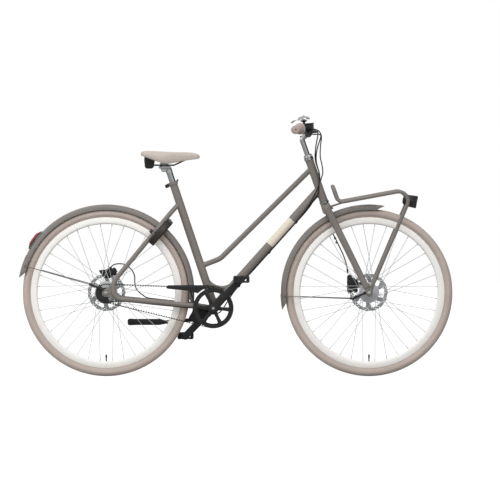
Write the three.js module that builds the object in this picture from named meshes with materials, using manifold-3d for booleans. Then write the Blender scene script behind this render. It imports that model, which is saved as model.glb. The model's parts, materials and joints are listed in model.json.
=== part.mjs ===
// A step-through city bicycle with a belt drive, a hub gear, disc brakes and a front carrier.
// Millimetres. +X points forward, +Y to the rider's left, +Z up. The wheels stand on Z = 0.
// Places are first measured from the bottom bracket, and the last lines move the origin
// to the middle of the bicycle's footprint.
import * as THREE from 'three';
import { mergeVertices } from 'three/addons/utils/BufferGeometryUtils.js';
import Module from 'manifold-3d';

const wasm = await Module();
wasm.setup();

// Fits and cuts
const gap = 0.3;
const overrun = 6;
const mergeDistance = 0.06;

// Steps of round pieces
const wheelSteps = 36;
const tubeSides = 12;
const rodSides = 6;
const bendSteps = 5;

// Frame layout
const bottomBracketDrop = 63;
const frontCentre = 654;
const headAngle = 70.5;
const forkOffset = 50.7;
const seatAngle = 71.5;
const seatTubeLead = 6;

// Belt drive: a centre distance that takes a whole number of belt teeth follows from these
const beltPitch = 11;
const ringTeeth = 48;
const sprocketTeeth = 22;
const beltTeeth = 118;
const beltWidth = 12;
const beltLine = 55;
const beltBackInner = 0.8;
const beltBackOuter = 1.2;
const beltToothDepth = 3.8;
const beltToothBase = 5.6;
const beltToothTip = 3.4;
const ringRimDepth = 7;
const ringFlangeDepth = 6;
const ringFlangeThickness = 5;

// Wheels
const tyreHeight = 35;
const tyreWidth = 40;
const tyreOutlineShares = [[0.3, 0.9], [0.6, 1], [0.88, 0.72], [1, 0.34]];
const rimOuterRadius = 317;
const rimDepth = 29;
const rimWidth = 26;
const rimWall = 2.2;
const rimBedDepth = 9;
const rimCrownWidth = 13;
const rimCrownDepth = 7;
const valveRadius = 3.6;
const valveLength = 28;
const spokesPerSide = 18;
const spokeRadius = 1.2;
const spokeSides = 3;
const spokeCrossAngle = 60;
const spokeInset = 4;
const spokeRimSpread = 3.2;
const frontSpokePhase = 5;
const rearSpokePhase = 2.5;
const axleSteps = 10;
const axleNutShare = 1.8;

// Front hub with its generator, and the axle in the fork ends
const frontOverLocknut = 100;
const frontAxleRadius = 4.8;
const frontFlangeRadius = 42;
const frontFlangeOffset = 27;
const frontBarrelRadius = 37;
const frontRotorOffset = 36;
const hubFlangeThickness = 4;
const hubEndRadius = 13;
const locknutRadius = 8.5;
const locknutThickness = 3.5;
const rotorBossRadius = 17;
const rotorBossShoulder = 4;

// Rear hub with its gear, and the axle in the dropouts
const rearOverLocknut = 135;
const rearAxleRadius = 5;
const rearFlangeRadius = 47;
const rearFlangeOffset = 31;
const rearBarrelRadius = 43;
const rearRotorOffset = 52;
const driverRadius = 17;

// Brake discs
const rotorRadius = 80;
const rotorThickness = 1.8;
const rotorTrackDepth = 15;
const rotorHubRing = 8;
const rotorArms = 6;
const rotorArmShare = 0.34;
const rotorWaves = 15;
const rotorWaveDepth = 2.4;
const rotorLeanShare = 1 / 3;

// Head tube, headset and fork, measured along the steering axis from the point nearest the axle
const headTubeRise = 72;
const headTubeLength = 184;
const headTubeRadius = 17.5;
const headTubeBore = 15.6;
const cupRadius = 20;
const lowerCupHeight = 9;
const upperCupHeight = 24;
const cupNeckRadius = 15;
const steererRadius = 14.3;
const steererBore = 11.5;
const crownHeight = 45;
const crownHalfWidth = 44;
const forkLegSpread = 52;
const forkLegDepth = 29;
const forkLegWidth = 20;
const forkLegTaperShare = 0.88;
const forkLegTopDrop = 30;
const forkLegEndLift = 24;
const forkLegEndLead = 3;
const forkEndThickness = 6;
const forkEndRadius = 15;
const forkEndArcStart = 160;
const forkEndArcEnd = 380;
const forkEndSteps = 10;
const forkEndNeckShare = 0.9;

// Tubes of the frame
const seatTubeLength = 555;
const seatTubeRadius = 17;
const seatpostRadius = 13.6;
const downTubeRadius = 17.5;
const downTubeHeadHeight = 55;
const topTubeRadius = 11.1;
const topTubeHeadDrop = 34;
const topTubeSeatHeight = 184;
const topTubeFootLength = 87;
const topTubeFootAngle = 21;
const topTubeBendRadius = 70;
const shellRadius = 22.5;
const shellWidth = 73;
const shellBore = 19.5;
const gussetRadius = 74;
const gussetTubeRadius = 9;
const gussetBury = 4;
const gussetSeatOverlap = 12;
const gussetEnd = 322;
const gussetSteps = 10;

// Rear stays: one bent tube on each side, with its dropout
const stayRadius = 10;
const stayTopDrop = 98;
const stayTopSpread = 22;
const stayTopSetback = 11;
const stayUprightLead = 32;
const stayUpperHeight = 48;
const stayLowerDrop = 22;
const stayUpperBend = 60;
const stayLowerBend = 36;
const stayFrontSpread = 37;
const stayFrontLead = 62;
const stayShellSpread = 27;
const stayFrontBend = 50;
const staySteps = 4;
const dropoutThickness = 6;
const dropoutRadius = 17;
const dropoutTopRise = 45;
const dropoutBottomDrop = 18;
const dropoutArcStart = -100;
const dropoutArcSweep = 160;
const dropoutSteps = 8;

// Cranks and pedals
const crankLength = 170;
const crankAngle = 46;
const crankHubRadius = 19;
const crankEndRadius = 14;
const crankThickness = 14;
const crankInner = 67;
const crankBevel = 1.5;
const spiderArms = 6;
const spiderTurn = -5;
const spiderArmWidth = 13;
const spiderThickness = 8;
const spiderTipDepth = 2;
const spiderTipShare = 0.8;
const spindleRadius = 12;
const pedalAxleRadius = 7;
const pedalSleeveRadius = 11;
const pedalWidth = 92;
const pedalLength = 68;
const pedalThickness = 28;
const pedalBarDepth = 13;
const pedalEndPlate = 8;
const pedalEyeWidth = 12;

// Saddle and seatpost
const seatpostInsert = 230;
const seatpostReach = 56;
const seatpostTravel = 40;
const collarRadius = 22.5;
const collarHeight = 15;
const collarEarLength = 14;
const collarEarWidth = 20;
const railRadius = 3.5;
const railSpread = 22;
const railRise = 18.9;
const railSetback = 21.1;
const clampLength = 46;
const clampWidth = 58;
const clampDrop = 24;
const clampRise = 8;
const saddleRearReach = 94;
const saddleNoseReach = 154;
const saddleWidth = 172;
const saddleRise = 60;
const bumperHalfWidth = 34;

// Fenders
const fenderSpace = 19;
const fenderWidth = 52;
const fenderArch = 14;
const fenderWall = 1.8;
const fenderOutlineShares = [[-1, -1], [-0.86, -0.42], [-0.42, -0.06], [0.42, -0.06], [0.86, -0.42], [1, -1]];
const frontFenderStart = 80;
const frontFenderEnd = 184;
const rearFenderStart = -9;
const rearFenderEnd = 152;
const flapLip = 3;
const fenderStayRadius = 2.2;

// Front carrier, on the steering axis grid: forward of the axis and along it
const rackTubeRadius = 8;
const rackHalfWidth = 112;
const rackBendRadius = 22;
const rackRodRadius = 4;
const rackSlatWidth = 24;
const rackSlatThickness = 4;
const rackSlats = 4;
const rackTabThickness = 4;

// Lamps
const tailLightLength = 52;
const tailLightWidth = 38;
const tailLightDepth = 17;

// Handlebar and stem
const barRadius = 11.1;
const barClampRadius = 18;
const barClampWidth = 42;
const quillRadius = 11.1;
const barEndSpread = 312;
const barBendRadius = 46;
const gripLength = 128;
const gripRadius = 16.5;
const gripWall = 5;
const shifterLength = 34;
const shifterRadius = 24;

// Ring lock
const lockChannelRadius = 62;
const lockInnerRadius = 50;
const lockOuterRadius = 76;
const lockThickness = 24;
const lockSink = 20;
const lockMouthAngle = 45;
const shackleRadius = 4;
const shackleArc = 108;

// Kickstand
const standPivotBack = 77;
const standPivotDrop = 53;
const standOffset = 45;
const standAxisTurn = 12.7;
const standLegRadius = 8;
const standFootRadius = 12.5;
const standReach = 285;
const standFootLength = 140;
const standRootShare = 0.8;
const standKnuckleRadius = 13;
const standPinRadius = 4;

// Brakes and cables
const hoseRadius = 2.5;
const cableRadius = 2.5;
const caliperSlot = 1.2;

// Small fittings
const bracketLip = 4;
const pulleyPlay = 0.6;
const pedalClearance = 2;
const standKnuckleWidth = 14;
const standBossLength = 9;
const standPinHeadRadius = 7;
const standPinHead = 2;
const standStrutRadius = 8;
const crownRaceWidth = 2.5;
const crownDepth = 52;
const crownBevel = 4;
const crownShoulderShare = 0.5;
const crownFenderSpace = 4;
const forkLegTopLead = 3;
const hoseClipLead = -4;
const hoseClipSpread = 49.6;
const hoseClipHeight = 243;
const hoseClipSize = 10;
const steererStand = 22;
const barLead = 33;
const stemRise = 84;
const barCentreFlat = 48;
const gripInnerLead = 12;
const gripInnerSpread = 156;
const gripInnerRise = 31;
const gripEndLead = -12;
const gripEndRise = 34;
const quillInsert = 130;
const stemCapHeight = 22;
const stemCapLip = 3;
const rightGripLength = 94;
const gripWaist = 1.6;
const gripWaistShare = 0.45;
const shifterRibs = 4;
const brakeInset = 137;
const brakeTurn = 27;
const brakeClampWidth = 14;
const brakeClampWall = 4.5;
const brakeNeckHalf = 8;
const brakeReach = 33;
const brakeCylinderLength = 62;
const brakeCylinderRadius = 9;
const brakeHoseNutShare = 0.62;
const brakeBarrelStartShare = 0.45;
const brakeBarrelEndShare = 0.3;
const brakeHoseNutRadius = 5;
const brakeTankRise = 9;
const leverPivotReach = 47;
const leverPivotSpread = 22;
const leverLength = 118;
const leverBow = 12;
const leverThickness = 4.5;
const leverHalfHeight = 6;
const leverEyeRadius = 7.5;
const leverPinRadius = 2.6;
const leverForkWall = 2.4;
const leverForkShare = 0.2;
const leverShares = [[0, 0], [1, 0.22], [1, 0.5], [0.5, 0.8], [0.6, 1]];
const leverRootShare = 1.2;
const leverRoom = 1.5;
const bellRadius = 26;
const bellWall = 1.6;
const bellDome = 13;
const bellDomeShares = [[0.94, 0.5], [0.7, 0.85]];
const bellKnobRadius = 3.4;
const bellKnobHeight = 3;
const bellBaseRadius = 15;
const bellBaseHeight = 4;
const bellStemRadius = 6;
const bellStemLength = 51;
const bellLeverHeight = 3;
const bellPostRadius = 3;
const bellThumbReach = 22;
const bellThumbWidth = 11;
const bellClampWidth = 12;
const bellPlaceShare = 0.5;
const bellTilt = 16;
const rackFootLead = 72;
const rackFootSpread = 66;
const rackFootHeight = 24;
const rackFrontLead = 373;
const rackFrontHeight = 351;
const rackHookLead = 56;
const rackHookBase = 401;
const rackHookTop = 471;
const rackFrontBend = 35;
const rackFirstSlat = 54;
const rackSlatPitch = 52;
const rackRailShare = 0.42;
const rackCrownDrop = 26;
const rackBoltShare = 0.75;
const lampBarLead = 331;
const lampBarHeight = 306;
const lampBarHalf = 112;
const lampLead = 351;
const lampPlaceHeight = 300;
const lampDepth = 36;
const lampHeight = 49;
const lampWidth = 62;
const lampBevel = 2;
const lampTilt = 30.2;
const lampClip = 8;
const lampLensDepth = 8;
const lampRim = 4;
const lampBackShare = 0.8;
const fenderSteps = 13;
const flapSteps = 3;
const flapOverlap = 2;
const frontFlapEnd = 191;
const rearFlapEnd = 170;
const fenderClipShare = 0.8;
const fenderClipEndShare = 0.85;
const fenderWireShare = 0.46;
const fenderEyeRadius = 4;
const fenderBracketHalf = 10;
const frontWireAngle = 183;
const frontWireFoot = 13;
const rearWireAngle = 161;
const rearWireFoot = 14;
const tailLightAngle = 142;
const tailLightSeat = 6;
const tailLightTopShare = 0.9;
const tailLightFootShare = 0.85;
const tailLightEdgeShare = 0.45;
const caliperInner = 60;
const caliperOuter = 104;
const frontCaliperLength = 62;
const rearCaliperLength = 78;
const caliperInside = 8;
const caliperPortInset = 10;
const caliperRootShare = 0.6;
const caliperShoulderShare = 0.7;
const caliperTopShare = 0.8;
const caliperPort = 4.5;
const frontCaliperOuter = 50;
const frontCaliperAngle = 138;
const caliperLugHeight = 54;
const caliperLugHalf = 7;
const caliperLugDepth = 6;
const rearCaliperOuter = 70;
const rearCaliperAngle = 86;
const gearJointStart = 126;
const gearJointEnd = 293;
const gearJointOuter = 44;
const gearJointInner = 23.5;
const gearJointFrom = 62.2;
const gearJointThickness = 4.6;
const gearJointSteps = 10;
const guardRear = 197;
const guardFront = 45;
const guardTop = 95;
const guardTaper = 12;
const guardRearShare = 0.7;
const guardFrontShare = 0.5;
const guardTipShare = 0.2;
const guardTabShare = 0.6;
const guardPlate = 63.7;
const guardThickness = 2.4;
const guardShelf = 16;
const guardTabHeight = 6;
const guardArcRadius = 78;
const guardArcStart = 62;
const guardArcEnd = 138;
const guardSteps = 6;
const lockAngle = 48.7;
const lockSteps = 10;
const lockRoomAngle = 2;
const lockKnobLift = 1.2;
const lockPocketAngle = 14;
const lockSlotHalf = 3.4;
const lockSlotStart = -38;
const lockSlotEnd = 66;
const lockKeyRadius = 11;
const lockLugReach = 16;
const lockLugSpread = 44;
const lockLugWidth = 16;
const lockLugRise = -20;
const lockLeverInset = 6;
const lockKnobRadius = 6;
const shackleRest = -43;
const collarBoltRadius = 3;
const collarSlitHalf = 0.9;
const collarNutRadius = 7;
const leverCamRadius = 7;
const seatLeverLength = 46;
const seatLeverThickness = 5;
const seatLeverRootShares = [0.3, 0.45];
const seatLeverBendShare = 0.6;
const seatLeverBackShare = 0.5;
const railRearReach = 76;
const railFlatReach = 44;
const railNoseReach = 104;
const railNoseSpread = 13;
const railNoseRise = 28;
const bumperRear = 81;
const bumperFront = 36;
const bumperDrop = 14;
const bumperFrontRise = 37.5;
const bumperRearRise = 44.5;
const saddleShell = 5;
const saddleShellShare = 0.64;
const baseEdgeShare = 0.9;
const baseMiddleShare = 0.45;
const saddleStationShares = [
  { along: 0, width: 0.5, top: 0.9, skirt: 0.72, hollow: 0.1 },
  { along: 0.03, width: 0.8, top: 0.97, skirt: 0.66, hollow: 0.5 },
  { along: 0.1, width: 0.95, top: 1, skirt: 0.58, hollow: 1 },
  { along: 0.2, width: 1, top: 1, skirt: 0.42, hollow: 1 },
  { along: 0.3, width: 0.97, top: 0.99, skirt: 0.27, hollow: 1 },
  { along: 0.42, width: 0.84, top: 0.96, skirt: 0.2, hollow: 1 },
  { along: 0.54, width: 0.62, top: 0.93, skirt: 0.22, hollow: 1 },
  { along: 0.66, width: 0.45, top: 0.91, skirt: 0.3, hollow: 1 },
  { along: 0.78, width: 0.35, top: 0.9, skirt: 0.38, hollow: 1 },
  { along: 0.88, width: 0.29, top: 0.89, skirt: 0.46, hollow: 1 },
  { along: 0.96, width: 0.22, top: 0.86, skirt: 0.52, hollow: 0.5 },
  { along: 1, width: 0.12, top: 0.78, skirt: 0.58, hollow: 0.1 },
];
const coverCrownShares = [
  [1, 0.3], [0.985, 0.55], [0.9, 0.78], [0.74, 0.91], [0.52, 0.98], [0.3, 1], [0.12, 0.97], [0, 0.93],
];
const coverUnderShares = [[0.97, 0.06], [0.88, 0], [0.76, 0.22], [0.68, 0.52], [0.34, 0.52], [0, 0.52]];

// Colours
const frameGrey = 0x77726a;
const blackPlastic = 0x1c1c1d;
const blackMetal = 0x232325;
const silver = 0xb9bbbd;
const tyreBeige = 0xb5a69d;
const rimCream = 0xefebdf;
const gripBeige = 0xb3a59b;
const saddleBeige = 0xcdc1b6;
const lampRed = 0x8e1f1c;
const lensClear = 0xe4e8ea;
const rubberBlack = 0x161616;
const discSteel = 0x9b9d9f;

const degree = Math.PI / 180;
const V = (x, y, z) => new THREE.Vector3(x, y, z);
const V2 = (x, y) => new THREE.Vector2(x, y);

// Solids

// A closed geometry as a solid, with its faces turned outwards.
function solid(geometry) {
  const bare = geometry.clone();
  bare.deleteAttribute('normal');
  bare.deleteAttribute('uv');
  const merged = mergeVertices(bare);
  const place = merged.getAttribute('position');
  const corners = merged.getIndex().array;
  const kept = [];
  let volume = 0;
  const a = V(0, 0, 0);
  const b = V(0, 0, 0);
  const c = V(0, 0, 0);
  for (let i = 0; i < corners.length; i += 3) {
    const [p, q, r] = [corners[i], corners[i + 1], corners[i + 2]];
    if (p === q || q === r || r === p) continue;
    kept.push(p, q, r);
    a.fromBufferAttribute(place, p);
    b.fromBufferAttribute(place, q);
    c.fromBufferAttribute(place, r);
    volume += a.dot(b.cross(c));
  }
  if (volume < 0) kept.reverse();
  return new wasm.Manifold(new wasm.Mesh({
    numProp: 3,
    vertProperties: new Float32Array(place.array),
    triVerts: new Uint32Array(kept),
  }));
}

function joined(solids) {
  return solids.reduce((whole, piece) => whole.add(piece));
}

function cut(whole, cutters) {
  return cutters.reduce((rest, cutter) => rest.subtract(cutter), whole);
}

// A circle as an even polygon.
function circle(radius, sides, x = 0, y = 0) {
  const points = [];
  for (let i = 0; i < sides; i += 1) {
    const angle = (i + 0.5) / sides * 2 * Math.PI;
    points.push(V2(x + radius * Math.cos(angle), y + radius * Math.sin(angle)));
  }
  return points;
}

// The radius of a many-sided hole whose flat sides clear a shaft of the given radius.
function clearRadius(radius, sides) {
  return (radius + gap) / Math.cos(Math.PI / sides);
}

function boreCircle(radius, sides) {
  return circle(clearRadius(radius, sides), sides);
}

// Points of an arc around the origin, its angles in degrees.
function arcPoints(radius, from, to, steps) {
  const points = [];
  for (let i = 0; i <= steps; i += 1) {
    const angle = (from + (to - from) * i / steps) * degree;
    points.push(V2(radius * Math.cos(angle), radius * Math.sin(angle)));
  }
  return points;
}

// A flat piece that stands in the XZ plane, its middle at the given Y.
function sidePlate(shape, y, thickness, bevel = 0) {
  const geometry = new THREE.ExtrudeGeometry(shape, {
    depth: thickness - 2 * bevel,
    bevelEnabled: bevel > 0,
    bevelSize: bevel,
    bevelThickness: bevel,
    bevelOffset: -bevel,
    bevelSegments: 1,
    curveSegments: 8,
  });
  geometry.translate(0, 0, bevel - thickness / 2);
  geometry.rotateX(Math.PI / 2);
  geometry.translate(0, y, 0);
  return solid(geometry);
}

// Points that lie on the straight line between their neighbours are left out.
function withoutStraights(points) {
  return points.filter((point, i) => {
    const before = points.at(i - 1);
    const after = points[(i + 1) % points.length];
    const bow = before.clone().sub(point).cross(after.clone().sub(point));
    return Math.abs(bow) > gap * gap * gap;
  });
}

function outline(points, holes = []) {
  const shape = new THREE.Shape(THREE.ShapeUtils.area(points) < 0 ? points.slice().reverse() : points);
  shape.holes = holes.map((hole) => new THREE.Path(hole));
  return shape;
}

// A straight rod, tapered where the two radii differ.
function rod(from, to, radius, sides = rodSides, endRadius = radius) {
  const run = to.clone().sub(from);
  const geometry = new THREE.CylinderGeometry(endRadius, radius, run.length(), sides);
  geometry.rotateY(Math.PI / sides);
  const turn = new THREE.Quaternion().setFromUnitVectors(V(0, 1, 0), run.normalize());
  geometry.applyQuaternion(turn);
  const middle = from.clone().add(to).multiplyScalar(0.5);
  geometry.translate(middle.x, middle.y, middle.z);
  return solid(geometry);
}

function box(from, to) {
  const size = to.clone().sub(from);
  const geometry = new THREE.BoxGeometry(Math.abs(size.x), Math.abs(size.y), Math.abs(size.z));
  const middle = from.clone().add(to).multiplyScalar(0.5);
  geometry.translate(middle.x, middle.y, middle.z);
  return solid(geometry);
}

// A ring or turned piece around the Y axis, from points of radius and Y.
function turned(points, steps = wheelSteps, start = 0) {
  const profile = points.map(([radius, y]) => V2(radius, y));
  profile.push(profile[0].clone());
  return solid(new THREE.LatheGeometry(profile, steps, start));
}

// The same turned piece, set with its axis along a line from one point towards another.
function turnedAlong(points, from, to, steps = tubeSides) {
  const profile = points.map(([radius, y]) => V2(radius, y));
  profile.push(profile[0].clone());
  const geometry = new THREE.LatheGeometry(profile, steps);
  const direction = to.clone().sub(from).normalize();
  geometry.applyQuaternion(new THREE.Quaternion().setFromUnitVectors(V(0, 1, 0), direction));
  geometry.translate(from.x, from.y, from.z);
  return solid(geometry);
}

function mirroredOutline(points) {
  return points.concat(points.map(([radius, y]) => [radius, -y]).reverse());
}

// A path that runs straight between its stations and turns only there.
class StationPath extends THREE.Curve {
  constructor(stations) {
    super();
    this.stations = stations;
  }

  station(share) {
    return this.stations[Math.round(share * (this.stations.length - 1))];
  }

  getPoint(share, target = V(0, 0, 0)) {
    return target.copy(this.station(share).point);
  }

  getPointAt(share, target) {
    return this.getPoint(share, target);
  }

  getTangentAt(share, target = V(0, 0, 0)) {
    return target.copy(this.station(share).tangent);
  }
}

// Corners joined by straight runs and round bends, one radius for all or one for each corner.
function bentPath(corners, bends, steps = bendSteps) {
  const stations = [];
  const first = corners[1].clone().sub(corners[0]).normalize();
  stations.push({ point: corners[0].clone(), tangent: first });
  for (let i = 1; i < corners.length - 1; i += 1) {
    const bendRadius = Array.isArray(bends) ? bends[i - 1] : bends;
    const inward = corners[i].clone().sub(corners[i - 1]).normalize();
    const onward = corners[i + 1].clone().sub(corners[i]).normalize();
    const angle = inward.angleTo(onward);
    const tangentLength = bendRadius * Math.tan(angle / 2);
    const side = onward.clone().addScaledVector(inward, -onward.dot(inward)).normalize();
    const start = corners[i].clone().addScaledVector(inward, -tangentLength);
    const centre = start.clone().addScaledVector(side, bendRadius);
    for (let k = 0; k <= steps; k += 1) {
      const turn = angle * k / steps;
      stations.push({
        point: centre.clone()
          .addScaledVector(side, -bendRadius * Math.cos(turn))
          .addScaledVector(inward, bendRadius * Math.sin(turn)),
        tangent: inward.clone().multiplyScalar(Math.cos(turn)).addScaledVector(side, Math.sin(turn)),
      });
    }
  }
  const last = corners.length - 1;
  stations.push({
    point: corners[last].clone(),
    tangent: corners[last].clone().sub(corners[last - 1]).normalize(),
  });
  return new StationPath(stations);
}

// A round arc in the XZ plane, with its angles in degrees from +X towards +Z.
function arcPath(centre, radius, from, to, steps) {
  const stations = [];
  for (let i = 0; i <= steps; i += 1) {
    const angle = (from + (to - from) * i / steps) * degree;
    const sense = Math.sign(to - from);
    stations.push({
      point: V(centre.x + radius * Math.cos(angle), centre.y, centre.z + radius * Math.sin(angle)),
      tangent: V(-Math.sin(angle) * sense, 0, Math.cos(angle) * sense),
    });
  }
  return new StationPath(stations);
}

function sweep(path, section) {
  const shape = new THREE.Shape(section);
  return solid(new THREE.ExtrudeGeometry(shape, {
    steps: path.stations.length - 1,
    bevelEnabled: false,
    extrudePath: path,
  }));
}

function bentTube(corners, radius, bends, sides = tubeSides, steps = bendSteps) {
  return sweep(bentPath(corners, bends, steps), circle(radius, sides));
}

// Free cables take a smooth curve through their points, a few steps between each two.
class RoutePath extends THREE.CatmullRomCurve3 {
  getPointAt(share, target) {
    return this.getPoint(share, target);
  }

  getTangentAt(share, target) {
    return this.getTangent(share, target);
  }
}

function cable(points, radius, stepsEach = 2, sides = 6) {
  const route = new RoutePath(points, false, 'centripetal');
  return solid(new THREE.ExtrudeGeometry(new THREE.Shape(circle(radius, sides)), {
    steps: (points.length - 1) * stepsEach,
    bevelEnabled: false,
    extrudePath: route,
  }));
}

// A named mesh from a solid.
function mesh(name, body, color, roughness = 0.5, metalness = 0) {
  const { vertProperties, triVerts, numProp } = body.asOriginal().simplify(mergeDistance).getMesh();
  const places = new Float32Array(vertProperties.length / numProp * 3);
  for (let i = 0; i < places.length / 3; i += 1) {
    places.set(vertProperties.subarray(i * numProp, i * numProp + 3), i * 3);
  }
  const geometry = new THREE.BufferGeometry();
  geometry.setAttribute('position', new THREE.BufferAttribute(places, 3));
  geometry.setIndex(new THREE.BufferAttribute(new Uint32Array(triVerts), 1));
  geometry.computeVertexNormals();
  const material = new THREE.MeshStandardMaterial({ color, roughness, metalness });
  const piece = new THREE.Mesh(geometry, material);
  piece.name = name;
  return piece;
}

function group(place, turn, pieces) {
  const holder = new THREE.Group();
  holder.position.copy(place);
  holder.rotation.y = turn;
  holder.add(...pieces);
  return holder;
}

// Layout worked out from the driving sizes

const tyreRadius = rimOuterRadius + tyreHeight;
const rimInnerRadius = rimOuterRadius - rimDepth;
const fenderRadius = tyreRadius + fenderSpace;
const lockReach = tyreRadius - lockSink;
const headTubeStart = tyreRadius + headTubeRise;
const forkLegTop = headTubeStart - forkLegTopDrop;
const steererTop = headTubeStart + headTubeLength + steererStand;
const quillBase = steererTop - quillInsert;
const barHeight = steererTop + stemRise;
const gripInnerHeight = barHeight + gripInnerRise;
const gripEndHeight = barHeight + gripEndRise;
const rackCrownHeight = headTubeStart - rackCrownDrop;
const axleHeight = tyreRadius * Math.cos(Math.PI / wheelSteps);
const shellHeight = axleHeight - bottomBracketDrop;
const ringPitchRadius = ringTeeth * beltPitch / (2 * Math.PI);
const sprocketPitchRadius = sprocketTeeth * beltPitch / (2 * Math.PI);

// The belt's length over the two pulleys at a given centre distance.
function beltLength(centres) {
  const lean = Math.asin((ringPitchRadius - sprocketPitchRadius) / centres);
  return 2 * centres * Math.cos(lean) + ringPitchRadius * (Math.PI + 2 * lean)
    + sprocketPitchRadius * (Math.PI - 2 * lean);
}

function beltCentres() {
  let low = ringPitchRadius + sprocketPitchRadius;
  let high = beltTeeth * beltPitch;
  for (let i = 0; i < 60; i += 1) {
    const middle = (low + high) / 2;
    if (beltLength(middle) < beltTeeth * beltPitch) low = middle;
    else high = middle;
  }
  return low;
}

const centres = beltCentres();
const rearAxle = V(-Math.sqrt(centres * centres - bottomBracketDrop * bottomBracketDrop), 0, axleHeight);
const frontAxle = V(frontCentre, 0, axleHeight);
const shellCentre = V(0, 0, shellHeight);

// The steering grid: its origin is the point of the steering axis nearest the front axle.
const steerTurn = (headAngle - 90) * degree;
const steerUp = V(-Math.cos(headAngle * degree), 0, Math.sin(headAngle * degree));
const steerForward = V(Math.sin(headAngle * degree), 0, Math.cos(headAngle * degree));
const steerOrigin = frontAxle.clone().addScaledVector(steerForward, -forkOffset);

function steerPoint(forward, up, y = 0) {
  return steerOrigin.clone().addScaledVector(steerForward, forward).addScaledVector(steerUp, up).setY(y);
}

// The seat tube grid: its origin lies level with the bottom bracket.
const seatTurn = (seatAngle - 90) * degree;
const seatOrigin = V(seatTubeLead, 0, shellHeight);
const seatUp = V(-Math.cos(seatAngle * degree), 0, Math.sin(seatAngle * degree));

function seatPoint(up, y = 0) {
  return seatOrigin.clone().addScaledVector(seatUp, up).setY(y);
}

const seatTop = seatPoint(seatTubeLength + seatpostReach);
const railHeight = seatTop.z + railRise;
const railPlace = seatTop.x - railSetback;

const downTubeHead = steerPoint(0, headTubeStart + downTubeHeadHeight);
const downTubeRun = downTubeHead.clone().sub(shellCentre).normalize();
const downTubeUpper = V(-downTubeRun.z, 0, downTubeRun.x);

// A point beside the down tube, at a distance from the bottom bracket.
function downTubePoint(distance, rise, y = 0) {
  return shellCentre.clone().addScaledVector(downTubeRun, distance)
    .addScaledVector(downTubeUpper, rise).setY(y);
}

// Wheels

function tyre(name) {
  const beadHalf = rimWidth / 2 - rimWall - gap;
    const half = [[rimOuterRadius - rimBedDepth + gap, beadHalf], [rimOuterRadius + gap, beadHalf]];
  for (const [heightShare, widthShare] of tyreOutlineShares) {
    half.push([rimOuterRadius + tyreHeight * heightShare, tyreWidth / 2 * widthShare]);
  }
  return mesh(name, turned(mirroredOutline(half), wheelSteps, Math.PI / wheelSteps), tyreBeige, 0.85);
}

function rim(name, valveAngle) {
  const half = [
    [rimInnerRadius, rimCrownWidth / 2],
    [rimInnerRadius + rimCrownDepth, rimWidth / 2],
    [rimOuterRadius, rimWidth / 2],
    [rimOuterRadius, rimWidth / 2 - rimWall],
    [rimOuterRadius - rimBedDepth, rimWidth / 2 - rimWall],
  ];
  const ring = turned(mirroredOutline(half), wheelSteps, Math.PI / wheelSteps);
  const way = V(Math.cos(valveAngle), 0, Math.sin(valveAngle));
  const root = way.clone().multiplyScalar(rimInnerRadius + rimCrownDepth);
  const tip = way.clone().multiplyScalar(rimInnerRadius - valveLength);
  return mesh(name, ring.add(rod(root, tip, valveRadius, 6)), rimCream, 0.5);
}

// The rim's inner surface is many-sided: its distance from the axle at an angle in degrees.
function rimInside(angle) {
  const facet = 360 / wheelSteps;
  const away = Math.abs(angle / facet - Math.round(angle / facet)) * facet;
  return rimInnerRadius * Math.cos(Math.PI / wheelSteps) / Math.cos(away * degree);
}

// Spokes of both flanges, crossed three times, fused to the hub that carries them.
function spokes(flangeRadius, flangeOffset, phase) {
  const wires = [];
  for (const side of [-1, 1]) {
    for (let i = 0; i < spokesPerSide; i += 1) {
      const rimAngle = (phase + (i + (side + 1) / 4) * 360 / spokesPerSide) * degree;
      const hubAngle = rimAngle + (i % 2 ? 1 : -1) * spokeCrossAngle * degree;
      const hubReach = flangeRadius - spokeInset;
      const rimReach = rimInside(rimAngle / degree) - 2 * gap;
      const layer = (i % 2 ? 1 : -1) * (spokeRadius + gap / 2);
      const hubY = side * flangeOffset + layer;
      const rimY = side * spokeRimSpread + layer;
      wires.push(rod(
        V(hubReach * Math.cos(hubAngle), hubY, hubReach * Math.sin(hubAngle)),
        V(rimReach * Math.cos(rimAngle), rimY, rimReach * Math.sin(rimAngle)),
        spokeRadius,
        spokeSides,
      ));
    }
  }
  return wires;
}

function flangeOutline(radius, offset, side) {
  const half = hubFlangeThickness / 2;
  const ends = [[radius, side * (offset - half)], [radius, side * (offset + half)]];
  return side > 0 ? ends : ends.reverse();
}

function frontHub() {
  const end = frontOverLocknut / 2 - locknutThickness - gap;
  const seat = frontRotorOffset - rotorThickness / 2 - gap;
  const profile = [
    [frontAxleRadius + gap, -end],
    [hubEndRadius, -end],
    [hubEndRadius + rotorBossShoulder, -frontRotorOffset],
    ...flangeOutline(frontFlangeRadius, frontFlangeOffset, -1),
    [frontBarrelRadius, -frontFlangeOffset + hubFlangeThickness],
    [frontBarrelRadius, frontFlangeOffset - hubFlangeThickness],
    ...flangeOutline(frontFlangeRadius, frontFlangeOffset, 1),
    [rotorBossRadius + rotorBossShoulder, seat],
    [rotorBossRadius, seat],
    [rotorBossRadius, frontRotorOffset + rotorBossShoulder],
    [hubEndRadius, end],
    [frontAxleRadius + gap, end],
  ];
  const shell = turned(profile, 16);
  const wires = spokes(frontFlangeRadius, frontFlangeOffset, frontSpokePhase);
  return mesh('front_hub', joined([shell, ...wires]), silver, 0.35, 0.8);
}

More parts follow.
